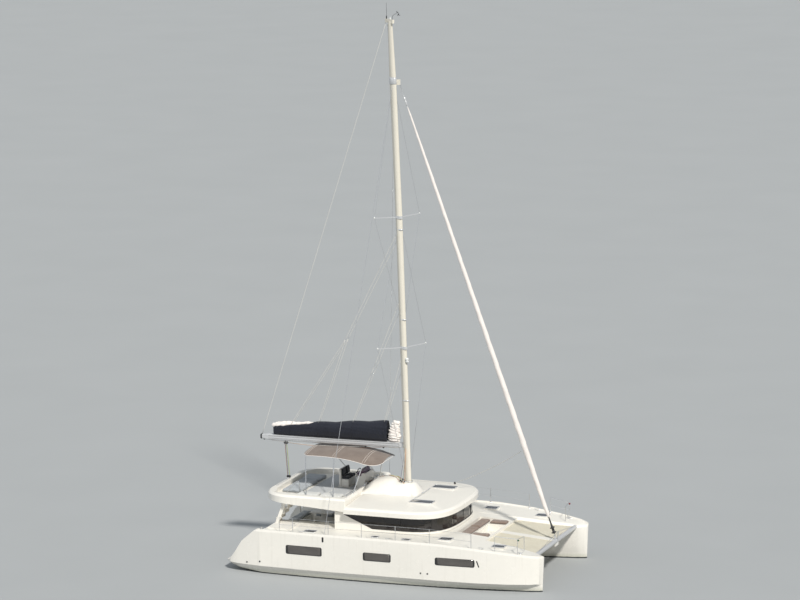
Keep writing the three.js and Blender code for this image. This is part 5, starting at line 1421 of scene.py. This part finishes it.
FAIRING = np.array([(-1.85, 3.23), (-1.4, 3.54), (-0.95, 3.62), (-0.56, 3.58), (-0.42, 3.45), (0.26, 3.42),
                    (0.48, 3.0)])


def fairing_height(x, y):
    """The mast's fairing: its crown along the boat, and an arch as the cube of the distance from the middle."""
    crown = np.interp(x, *FAIRING.T)
    return 2.88 + (crown - 2.88) * (1 - np.minimum(np.abs(y) / 0.9, 1) ** 3)


BLOCK_ANGLES = np.radians([100, 125, 150, 210, 235, 260])
CLUTCH_Y = 0.20 + 0.085 * np.arange(6)
blocks, halyards = [], {"white_rope": [], "orange_rope": [], "lime_rope": [], "navy_rope": []}
for i, (a, y_end, material) in enumerate(zip(BLOCK_ANGLES, CLUTCH_Y, list(halyards) * 2)):
    spot = np.array([-0.06 + 0.33 * math.cos(a), 0.30 * math.sin(a), 3.50])
    blocks.append(block(spot, (-math.sin(a), math.cos(a), 0), 0.034, 0.034))
    start = on_mast(0.16 * math.cos(a - MAST_TURN), 0.12 * math.sin(a - MAST_TURN), 4.1 + 0.16 * i)
    x = np.linspace(spot[0] - 0.10, -1.86, 18)
    y = spot[1] + (y_end - spot[1]) * np.linspace(0.05, 1, 18) ** 0.8
    over_roof = np.column_stack([x, y, fairing_height(x, y) + 0.012])
    over_roof[x > -0.56, 2] = np.maximum(over_roof[x > -0.56, 2], 3.475)
    clutch = [-1.93, y_end, 3.235]
    halyards[material] += [smoothed(np.vstack([start, spot + [0, 0, 0.04], over_roof, clutch]), 90),
                           straight(clutch, [-2.0, y_end, 3.20], 4)]
new_piece("mast_foot_blocks", *joined(blocks), "black_plastic", slot="mast_paint")
for material, runs in halyards.items():
    rope(f"halyards_{material}", runs, 0.0065, material)
clutches = [box_about((-1.91, y, 3.19), (0.045, 0.035, 0.035), 0.012) for y in CLUTCH_Y]
new_piece("rope_clutches", *joined(clutches), "black_plastic", slot="gelcoat")
clew = np.array([4.90, 0.10, 5.07])
lead = np.array([1.16, 2.41, roof_height(1.16, 2.41) + 0.05])
run_aft = smoothed([lead, (0.3, 2.46, 2.93), (-0.8, 2.3, 2.98), (-1.75, 1.9, 3.10), (-1.93, 1.45, 3.22)], 50)
run_aft[:, 2] = np.maximum(run_aft[:, 2], roof_height(run_aft[:, 0], run_aft[:, 1]) + 0.012)
rope("headsail_sheet", [straight(clew, lead, 60, 0.10), run_aft], 0.010, "white_rope")
new_piece("sheet_lead_block", *block(lead, (0.4, 0.9, 0.2), 0.05, 0.05), "black_plastic", slot="gelcoat")

# %% Winches, tracks and cleats
WINCH = [(0.001, 0), (0.088, 0), (0.090, 0.012), (0.072, 0.03), (0.058, 0.05), (0.056, 0.085), (0.068, 0.11),
         (0.074, 0.118), (0.074, 0.13), (0.060, 0.134), (0.060, 0.142), (0.050, 0.150), (0.020, 0.152),
         (0.018, 0.145), (0.001, 0.145)]
winches = [turned(WINCH, (-1.93, y, 3.158), UP, 36) for y in (-0.10, 0.90, 1.35)]
new_piece("winches", *joined(winches), "steel", slot="steel")
y = np.linspace(-1.0, 1.0, 60)
x = 0.62 - 0.06 * y**2
line = np.column_stack([x, y, roof_height(x, y) + 0.012])
headsail_track = [ribbon(line, (1, 0, 0), 0.034, 0.024),
                  box_about(line[28] + [0, 0, 0.031], (0.05, 0.08, 0.019), 0.015)]
new_piece("headsail_track", *joined(headsail_track), "alloy", slot="alloy")


def cleat(spot, length=0.26):
    """A mooring cleat: two feet under a bar whose horns thin towards their tips and rise a little."""
    t = np.linspace(-1, 1, 25)
    line = np.column_stack([t * length / 2, 0 * t, 0.055 + 0.014 * t**2])
    bar = tube(line, 0.013 - 0.006 * t**2, 10)
    feet = [tube([[s * 0.045, 0, 0.0], [s * 0.045, 0, 0.03], [s * 0.035, 0, 0.055]], (0.020, 0.013, 0.012), 10)
            for s in (-1, 1)]
    points, faces = joined([bar, *feet])
    return points + spot, faces


def on_side_deck(x, outboard, side, above):
    """A place on a hull's deck, outboard of the hull's middle line."""
    return np.array([x, side * (HULL_Y + outboard), deck_height(x) + above])


CLEATS = [(5.95, 0.22), (4.40, 0.62), (0.40, 0.80), (-3.45, 0.74), (-5.15, 0.80)]
cleats = [cleat(on_side_deck(*place, side, 0.002)) for side in SIDES.values() for place in CLEATS]
new_piece("deck_cleats", *joined(cleats), "steel", slot="steel")
print("deck gear done")

# %% [markdown]
# ## Helm station
# The helm is on the flybridge, at a console with a sloping panel: a chart plotter, four round instruments,
# a compass and the engines' two levers, behind a low screen of smoked, slightly purple acrylic. The wheel
# has a steel spider and a rim sewn into leather. The panel's gear is drawn flat and then laid on the slope.

# %% The sloping panel
MATERIALS |= {
    "tinted_screen": glass_paint("tinted_screen", (0.070, 0.028, 0.062), 0.72),
    "leather": metal_paint("leather", (0.030, 0.026, 0.024), 0.55, metal=0.0, along=(60, 60, 60), stained=0.0),
    "red_lens": metal_paint("red_lens", (0.19, 0.010, 0.010), 0.08, metal=0.0, stained=0.0),
    "green_lens": metal_paint("green_lens", (0.010, 0.10, 0.035), 0.08, metal=0.0, stained=0.0),
}
PANEL_FOOT, PANEL_HEAD = np.array([-2.42, 0, 3.45]), np.array([-2.15, 0, 3.62])
PANEL_SLOPE = (PANEL_HEAD - PANEL_FOOT) / np.linalg.norm(PANEL_HEAD - PANEL_FOOT)
PANEL_UP = np.array([-PANEL_SLOPE[2], 0, PANEL_SLOPE[0]])


def on_panel(points):
    """Lays flat points (up the slope, across, proud) on the console's panel."""
    p = np.asarray(points, float)
    return PANEL_FOOT + p[..., :1] * PANEL_SLOPE + p[..., 1:2] * BEAM + p[..., 2:] * PANEL_UP


def panel_box(low, high, radius):
    """A rounded box that is drawn flat and laid on the panel."""
    points, faces = rounded_box(low, high, radius)
    return on_panel(points), faces


BEZEL = [(0.050, -0.002), (0.052, 0.016), (0.046, 0.020), (0.043, 0.016), (0.001, 0.016)]
DIAL = [(0.042, 0.0), (0.042, 0.017), (0.001, 0.018)]
KNOB = [(0.001, 0), (0.016, 0.006), (0.019, 0.018), (0.012, 0.030), (0.001, 0.034)]
DOME = [(0.050 * math.cos(t), 0.034 + 0.045 * math.sin(t)) for t in np.linspace(0.15, PI / 2 - 0.02, 7)]
cases = [panel_box((0.06, 0.48, -0.002), (0.27, 0.77, 0.034), 0.012),
         panel_box((0.03, 0.20, -0.002), (0.14, 0.33, 0.018), 0.01)]
screens = [panel_box((0.075, 0.497, 0.028), (0.255, 0.753, 0.036), 0.003)]
for across in (0.23, 0.35, 0.87, 1.00):
    cases.append(turned(BEZEL, on_panel([0.21, across, 0]), PANEL_UP, 28))
    screens.append(turned(DIAL, on_panel([0.21, across, 0]), PANEL_UP, 28))
for across in (0.235, 0.295):
    lever = on_panel([[0.085, across, 0.01], [0.075, across, 0.09], [0.05, across, 0.15]])
    cases.append(tube(smoothed(lever, 12), np.linspace(0.009, 0.012, 12), 10))
    cases.append(turned(KNOB, lever[-1], PANEL_UP, 16))
cases.append(turned([(0.062, -0.004), (0.064, 0.020), (0.055, 0.034), *DOME], (-2.095, 0.625, 3.62), UP, 28))
new_piece("helm_instruments", *joined(cases), "black_plastic", slot="gelcoat")
new_piece("helm_displays", *joined(screens), "hatch_acrylic", slot="gelcoat")

# %% Windscreen and handrail
rows, columns = 14, 61
rise = np.linspace(0, 1, rows)[:, None]
around = np.linspace(-1, 1, columns)[None, :]
screen = np.stack([-2.045 - 0.25 * np.abs(around) ** 3.2 - 0.10 * rise,
                   0.625 + 0.485 * np.sin(around * PI / 2) * (1 + 0.04 * rise),
                   3.600 - 0.13 * np.abs(around) ** 4 + 0.235 * rise * (1 - 0.45 * np.abs(around) ** 3)], -1)
pane = new_piece("helm_windscreen", screen, quads(rows, columns), "tinted_screen", slot="dark_glass")
thick = pane.modifiers.new("thickness", "SOLIDIFY")
thick.thickness = 0.006
RAIL_X, RAIL_FOOT = -1.93, 3.155
FRONT_RAIL = [(-2.32, RAIL_FOOT), (-2.28, 3.235), (-1.4, 3.25), (-0.42, 3.235), (-0.38, RAIL_FOOT)]
rails = [tube(screen[-1] + [0, 0, 0.004], 0.007, 8),
         tube(smoothed([(RAIL_X, y, z) for y, z in FRONT_RAIL], 60), 0.013, 12)]
rails += [tube(straight((RAIL_X, y, RAIL_FOOT), (RAIL_X, y, 3.245), 3), 0.010, 10)
          for y in (-1.80, -1.30, -0.80)]
new_piece("flybridge_handrail", *joined(rails), "steel", slot="steel")

# %% Wheel
WHEEL = np.array([-2.475, 0.62, 3.42])
WHEEL_R = 0.29


def round_wheel(radius, angle, ahead):
    """A place in the wheel: (ahead, r cos a, r sin a) from its hub."""
    radius, angle, ahead = np.broadcast_arrays(radius, angle, ahead)
    return WHEEL + np.stack([ahead, radius * np.cos(angle), radius * np.sin(angle)], -1)


RIM_STEPS, RIM_SIDES = 120, 16
a_big = np.linspace(0, 2 * PI, RIM_STEPS, endpoint=False)[:, None]
a_small = np.linspace(0, 2 * PI, RIM_SIDES, endpoint=False)[None, :]
wrap = 0.0160 + 0.0007 * np.sin(90 * a_big) ** 8         # the leather's stitches stand up a little
rim_skin = round_wheel(WHEEL_R + wrap * np.cos(a_small), a_big, wrap * np.sin(a_small))
wheel_rim = new_piece("helm_wheel_rim", rim_skin, ring_quads(RIM_STEPS, RIM_SIDES), "leather",
                      body="helm_wheel", slot="steel")
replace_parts(wheel_rim, "helm_wheel")
WHEEL_HUB = [(0.001, -0.032), (0.028, -0.030), (0.045, -0.014), (0.046, 0.018), (0.001, 0.020)]
spoke = np.linspace(0.03, WHEEL_R, 16)
spider = [turned(WHEEL_HUB, WHEEL, (1, 0, 0), 32)]
spider += [tube(round_wheel(spoke, angle, -0.012 * np.sin(PI * spoke / WHEEL_R)), 0.012, 10, 0.55)
           for angle in (0, 2 * PI / 3, 4 * PI / 3)]
new_piece("helm_wheel_spider", *joined(spider), "steel", body="helm_wheel", slot="steel")
print("helm station done")

# %% [markdown]
# ## Foam deck pads
# On the flybridge, in the aft cockpit and on the steps at the sterns, the floor is covered with thin
# blue-grey foam pads, cut with round corners and a gap between them. Each is a low box with a soft edge and
# its pattern laid flat. On the flybridge their grey is also painted shade: it darkens the floor at the
# console's foot and under the canopy, where shade falls.


# %% Pads on the floors
def deck_pads(name, areas):
    """Low boxes on a floor; each area is (x from, x to, y from, y to, height of the floor)."""
    points, faces = joined([rounded_box((x0, min(y0, y1), z), (x1, max(y0, y1), z + 0.006), 0.045)
                            for x0, x1, y0, y1, z in areas])
    new_piece(name, points, faces, "deck_pad", slot="cushion", uv=points[:, :2])


FLY_FLOOR, COCKPIT_FLOOR = 2.9605, 1.0505
# The flybridge's pads are grey partly as painted shade: a darker floor at the console's foot and under the canopy.
deck_pads("flybridge_floor_pads_painted_shade",
          [(-4.22, -3.29, -1.70, 2.26, FLY_FLOOR), (-3.26, -2.48, -1.70, 0.11, FLY_FLOOR),
           (-2.45, -2.06, -1.70, 0.11, FLY_FLOOR), (-3.26, -2.48, 1.14, 2.26, FLY_FLOOR),
           (-2.45, -2.06, 1.14, 2.26, FLY_FLOOR), (-2.74, -2.44, 0.17, 1.09, FLY_FLOOR)])
deck_pads("cockpit_floor_pads",
          [(-4.75, -3.65, -1.68, 0.20, COCKPIT_FLOOR), (-3.62, -2.48, -1.68, 0.20, COCKPIT_FLOOR),
           (-2.86, -2.48, 0.24, 1.68, COCKPIT_FLOOR)])
TREADS = [(-6.70, -6.20, -0.34, 0.34, 0.4205), (-6.11, -5.84, -0.56, 0.48, 0.7355),
          (-5.76, -5.16, -0.90, 0.48, 1.0505)]
for name, side in SIDES.items():
    deck_pads(f"stern_step_pads_{name}", [(x0, x1, side * (HULL_Y + y0), side * (HULL_Y + y1), z)
                                          for x0, x1, y0, y1, z in TREADS])
print("deck pads done")

# %% [markdown]
# ## Deckhouse trim and the sliding door
# The saloon's dark band is glued in with a black rubber joint all round, and its panes meet at the pillars.
# The deckhouse in plan is straight aft and a superellipse ahead, so the joints follow that same outline.


# %% Joints of the window band
BAND_TOP, BAND_FOOT = 2.50, 1.975
SHOULDER, FRONT, HALF_HOUSE = 0.30, 2.38, 2.60
HOUSE_POWER = 3.1


def band_line(z, x_aft, grow=0.004):
    """The band's outline at one height, from its aft end on one side round the front to the other. Ahead of the
    shoulder it is a superellipse: shoulder + length cos^(2/p), half breadth sin^(2/p)."""
    angle = np.linspace(-PI / 2, PI / 2, 120)
    c, s = np.abs(np.cos(angle)) ** (2 / HOUSE_POWER), np.abs(np.sin(angle)) ** (2 / HOUSE_POWER)
    straight_x = np.linspace(x_aft, SHOULDER - 0.01, 30)
    x = np.concatenate([straight_x, SHOULDER + (FRONT - SHOULDER + grow) * c, straight_x[::-1]])
    y = (HALF_HOUSE + grow) * np.concatenate([-np.ones(30), np.sign(angle) * s, np.ones(30)])
    return np.column_stack([x, y, np.full(180, z)])


low_line, high_line = band_line(BAND_FOOT, -0.70), band_line(BAND_TOP, -1.95)
gaskets = [tube(low_line, 0.010, 8), tube(high_line, 0.010, 8)]
gaskets += [tube(straight(low_line[end], high_line[end], 12), 0.010, 8) for end in (0, -1)]
plan = band_line(0.0, -1.95, 0.003)
plan_angle = np.degrees(np.arctan2(plan[:, 1], plan[:, 0]))
for pillar in (-78, -52, -24, 0, 24, 52, 78):
    spot = [np.interp(pillar, plan_angle, plan[:, k]) for k in (0, 1)]
    gaskets.append(tube(straight([*spot, BAND_FOOT], [*spot, BAND_TOP], 6), 0.008, 6))
new_piece("window_band_joints", *joined(gaskets), "black_plastic", slot="dark_glass")


# %% Sliding door and fixed pane
def pane_frame(low, high, bar=0.045, proud=0.005):
    """A rectangular frame standing across the boat: a square section carried round a rectangle."""
    low, high = np.asarray(low, float), np.asarray(high, float)
    x_a, x_b = low[0] - proud, high[0] + proud
    loops = []
    for x_r, inset in ((x_a, 0.0), (x_b, 0.0), (x_b, bar), (x_a, bar), (x_a, 0.0)):
        y0, y1, z0, z1 = low[1] + inset, high[1] - inset, low[2] + inset, high[2] - inset
        loops.append([[x_r, y0, z0], [x_r, y1, z0], [x_r, y1, z1], [x_r, y0, z1]])
    return np.array(loops), quads(5, 4, ring=True)


door_low, door_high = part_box("saloon_door")
GRIP = [(-2.416, 1.62), (-2.445, 1.65), (-2.445, 2.00), (-2.416, 2.03)]
grip = smoothed([(x, -0.915, z) for x, z in GRIP], 24)
clear_of_sill = np.add(door_low, [0, 0.001, 0.001])
new_piece("saloon_door_frame", *pane_frame(clear_of_sill, door_high), "alloy", body="saloon_door", slot="alloy",
          smooth=False)
new_piece("saloon_door_grip", *tube(grip, 0.011, 12), "steel", body="saloon_door", slot="steel")
pane_low, pane_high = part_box("saloon_fixed_pane")
new_piece("saloon_fixed_frame", *pane_frame(pane_low, pane_high, 0.035, 0.004), "alloy", slot="alloy",
          smooth=False)
door_track = ribbon([(-2.39, -0.99, 2.478), (-2.39, 0.99, 2.478)], (1, 0, 0), 0.012, 0.010)
new_piece("saloon_door_track", *door_track, "alloy", slot="alloy", smooth=False)

# %% Engine hatches, stanchion feet and rails
LIFT_RING = [(0.040, 0), (0.040, 0.006), (0.034, 0.009), (0.020, 0.005), (0.001, 0.005)]
for name in SIDES:
    node = f"engine_lid_{name}"
    low, high = (np.array(corner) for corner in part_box(node))
    off = np.array(JOINT_OF[node]["pos_m"]) - (low + high) / 2
    swing = 0 if abs(off[0]) > abs(off[1]) else 1        # the axis along which the hinges are off the middle
    hinge_edge, free_edge = (high, low) if off[swing] > 0 else (low, high)
    inward = -math.copysign(1, off[swing])
    fit = []
    for share in (-0.32, 0.32):
        spot = (low + high) / 2 + share * (high - low)
        ends = np.array([spot, spot])
        ends[:, swing] = hinge_edge[swing] + 0.03 * inward
        ends[:, 1 - swing] += [-0.05, 0.05]
        ends[:, 2] = high[2] + 0.004
        spot[swing] = free_edge[swing] - 0.09 * inward
        spot[2] = high[2] - 0.002
        fit += [tube(ends, 0.009, 10), turned(LIFT_RING, spot, UP, 28)]
    new_piece(f"engine_lid_fittings_{name}", *joined(fit), "steel", body=node, slot="steel")

STANCHIONS = [(-4.34, 0.86), (-3.74, 0.88), (-2.16, 0.90), (-0.70, 0.90), (0.78, 0.895), (2.26, 0.885),
              (4.03, 0.80), (5.00, 0.66), (5.90, 0.44), (5.96, 0.235)]
SOCKET = [(0.036, 0), (0.036, 0.006), (0.022, 0.014), (0.018, 0.05), (0.001, 0.052)]
feet = [turned(SOCKET, on_side_deck(*place, side, -0.001), UP, 20)
        for side in SIDES.values() for place in STANCHIONS]
new_piece("stanchion_feet", *joined(feet), "steel", slot="steel")
STAIR_RAIL = [(-5.03, 2.085), (-5.03, 2.60), (-4.92, 2.86), (-4.50, 3.40), (-4.32, 3.56), (-4.225, 3.50),
              (-4.222, 3.25), (-4.222, 2.962)]
new_piece("stair_handrail", *tube(smoothed([(x, -1.83, z) for x, z in STAIR_RAIL], 80), 0.014, 12), "steel",
          slot="steel")

BOW_LAMP = [(0.020, 0), (0.034, 0.006), (0.036, 0.050), (0.026, 0.062), (0.001, 0.066)]
STERN_LAMP = [(0.030, 0), (0.034, 0.010), (0.030, 0.045), (0.018, 0.055), (0.001, 0.058)]
for name, material in (("port", "red_lens"), ("starboard", "green_lens")):
    spot = np.array([5.93, SIDES[name] * (HULL_Y + 0.42), deck_height(5.9) + 0.575])
    new_piece(f"bow_light_{name}", *turned(BOW_LAMP, spot, UP, 20), material, slot="steel")
new_piece("stern_light", *turned(STERN_LAMP, (-5.60, 0.0, 3.066), UP, 20), "lamp_lens", slot="gelcoat")

# %% [markdown]
# ## Net lacing and the anchor's chain
# Each net is laced to the hull, the beam and the longeron by a thin cord that zigzags through its eyelets.
# The anchor hangs under the longeron, and its galvanised chain runs back under it into the locker. A chain
# is one link repeated, every other one turned a quarter.

# %% Lacing and chain
for name, side in SIDES.items():
    x = np.linspace(4.10, 6.28, 75)
    zig = np.arange(75) % 2
    edges = (hull_inside(x) - 0.045 + 0.040 * zig, 0.225 - 0.030 * zig)
    laces = [np.column_stack([x, side * y, net_height(x) + 0.004]) for y in edges]
    y = np.linspace(0.25, hull_inside(6.3) - 0.05, 65)
    laces.append(np.column_stack([6.30 + 0.035 * zig[:65], side * y, np.full(65, net_height(6.3) + 0.004)]))
    rope(f"net_lacing_{name}", laces, 0.003, "white_rope", slot="net", sides=5)

LINK_LONG, LINK_WIDE, WIRE = 0.046, 0.033, 0.0055
t = np.linspace(0, 2 * PI, 16, endpoint=False)
oval = np.stack([(LINK_LONG / 2 - WIRE) * np.sign(np.cos(t)) * np.abs(np.cos(t)) ** 0.8,
                 (LINK_WIDE / 2 - WIRE) * np.sign(np.sin(t)) * np.abs(np.sin(t)) ** 0.8, 0 * t], -1)
chain_path = np.array([[5.165, 0.0, 1.175], [4.95, 0.0, 1.190], [4.5, 0.0, 1.176], [4.06, 0.0, 1.160]])
chain_long = arc_lengths(chain_path)[-1]
spots = along(chain_path, np.arange(0, chain_long, LINK_LONG - 2.2 * WIRE) / chain_long)
tangent = np.roll(oval, -1, 0) - np.roll(oval, 1, 0)
in_plane = np.cross(tangent / np.linalg.norm(tangent, axis=1, keepdims=True), UP)
small = np.linspace(0, 2 * PI, 6, endpoint=False)[None, :, None]
link = oval[:, None] + WIRE * (np.cos(small) * in_plane[:, None] + np.sin(small) * UP)
upright = link[..., [0, 2, 1]] * [1, -1, 1]
links = [((upright if i % 2 else link) + spot, ring_quads(16, 6)) for i, spot in enumerate(spots)]
new_piece("anchor_chain", *joined(links), "steel", slot="steel")
print("chain:", len(spots), "links")

# %% [markdown]
# ## Floor and light
# A plain pale floor lies at the waterline. A large soft sun from the boat's starboard bow gives the bright
# tops and the grey undersides of the photograph, and a pale sky fills the shadows.

# %% Floor, sun and sky
FLOOR_HALF = 900.0
floor_corners = np.array([[-1, -1, 0], [1, -1, 0], [1, 1, 0], [-1, 1, 0]]) * FLOOR_HALF
floor = new_piece("studio_floor", floor_corners, [[0, 1, 2, 3]], "lamp_lens", body=None)
floor_paint = Paint("studio_floor", Roughness=0.85)
pale_grey = floor_paint.mix(floor_paint.noise(0.2, 2), (0.36, 0.375, 0.38), (0.385, 0.40, 0.405))
floor_paint.set(Base_Color=pale_grey)
floor.data.materials.clear()
floor.data.materials.append(floor_paint.material)


def add_sun(name, direction, strength, angle, color):
    """A sun that shines along the direction; the wider its angle, the softer its shadows."""
    sun = bpy.data.objects.new(name, bpy.data.lights.new(name, "SUN"))
    sun.data.energy = strength
    sun.data.angle = math.radians(angle)
    sun.data.color = color
    sun.rotation_euler = Vector(direction).to_track_quat("-Z", "Y").to_euler()
    bpy.context.scene.collection.objects.link(sun)


add_sun("key_sun", (-0.55, 0.62, -0.80), 3.7, 5, (1.0, 0.97, 0.92))
add_sun("fill_sun", (0.8, 0.5, -0.35), 0.45, 60, (0.93, 0.96, 1.0))
world = bpy.data.worlds.new("sky")
world.use_nodes = True
sky = world.node_tree.nodes["Background"]
sky.inputs["Color"].default_value = (0.80, 0.87, 0.95, 1)
sky.inputs["Strength"].default_value = 0.42
bpy.context.scene.world = world
bpy.context.scene.view_settings.view_transform = "Standard"
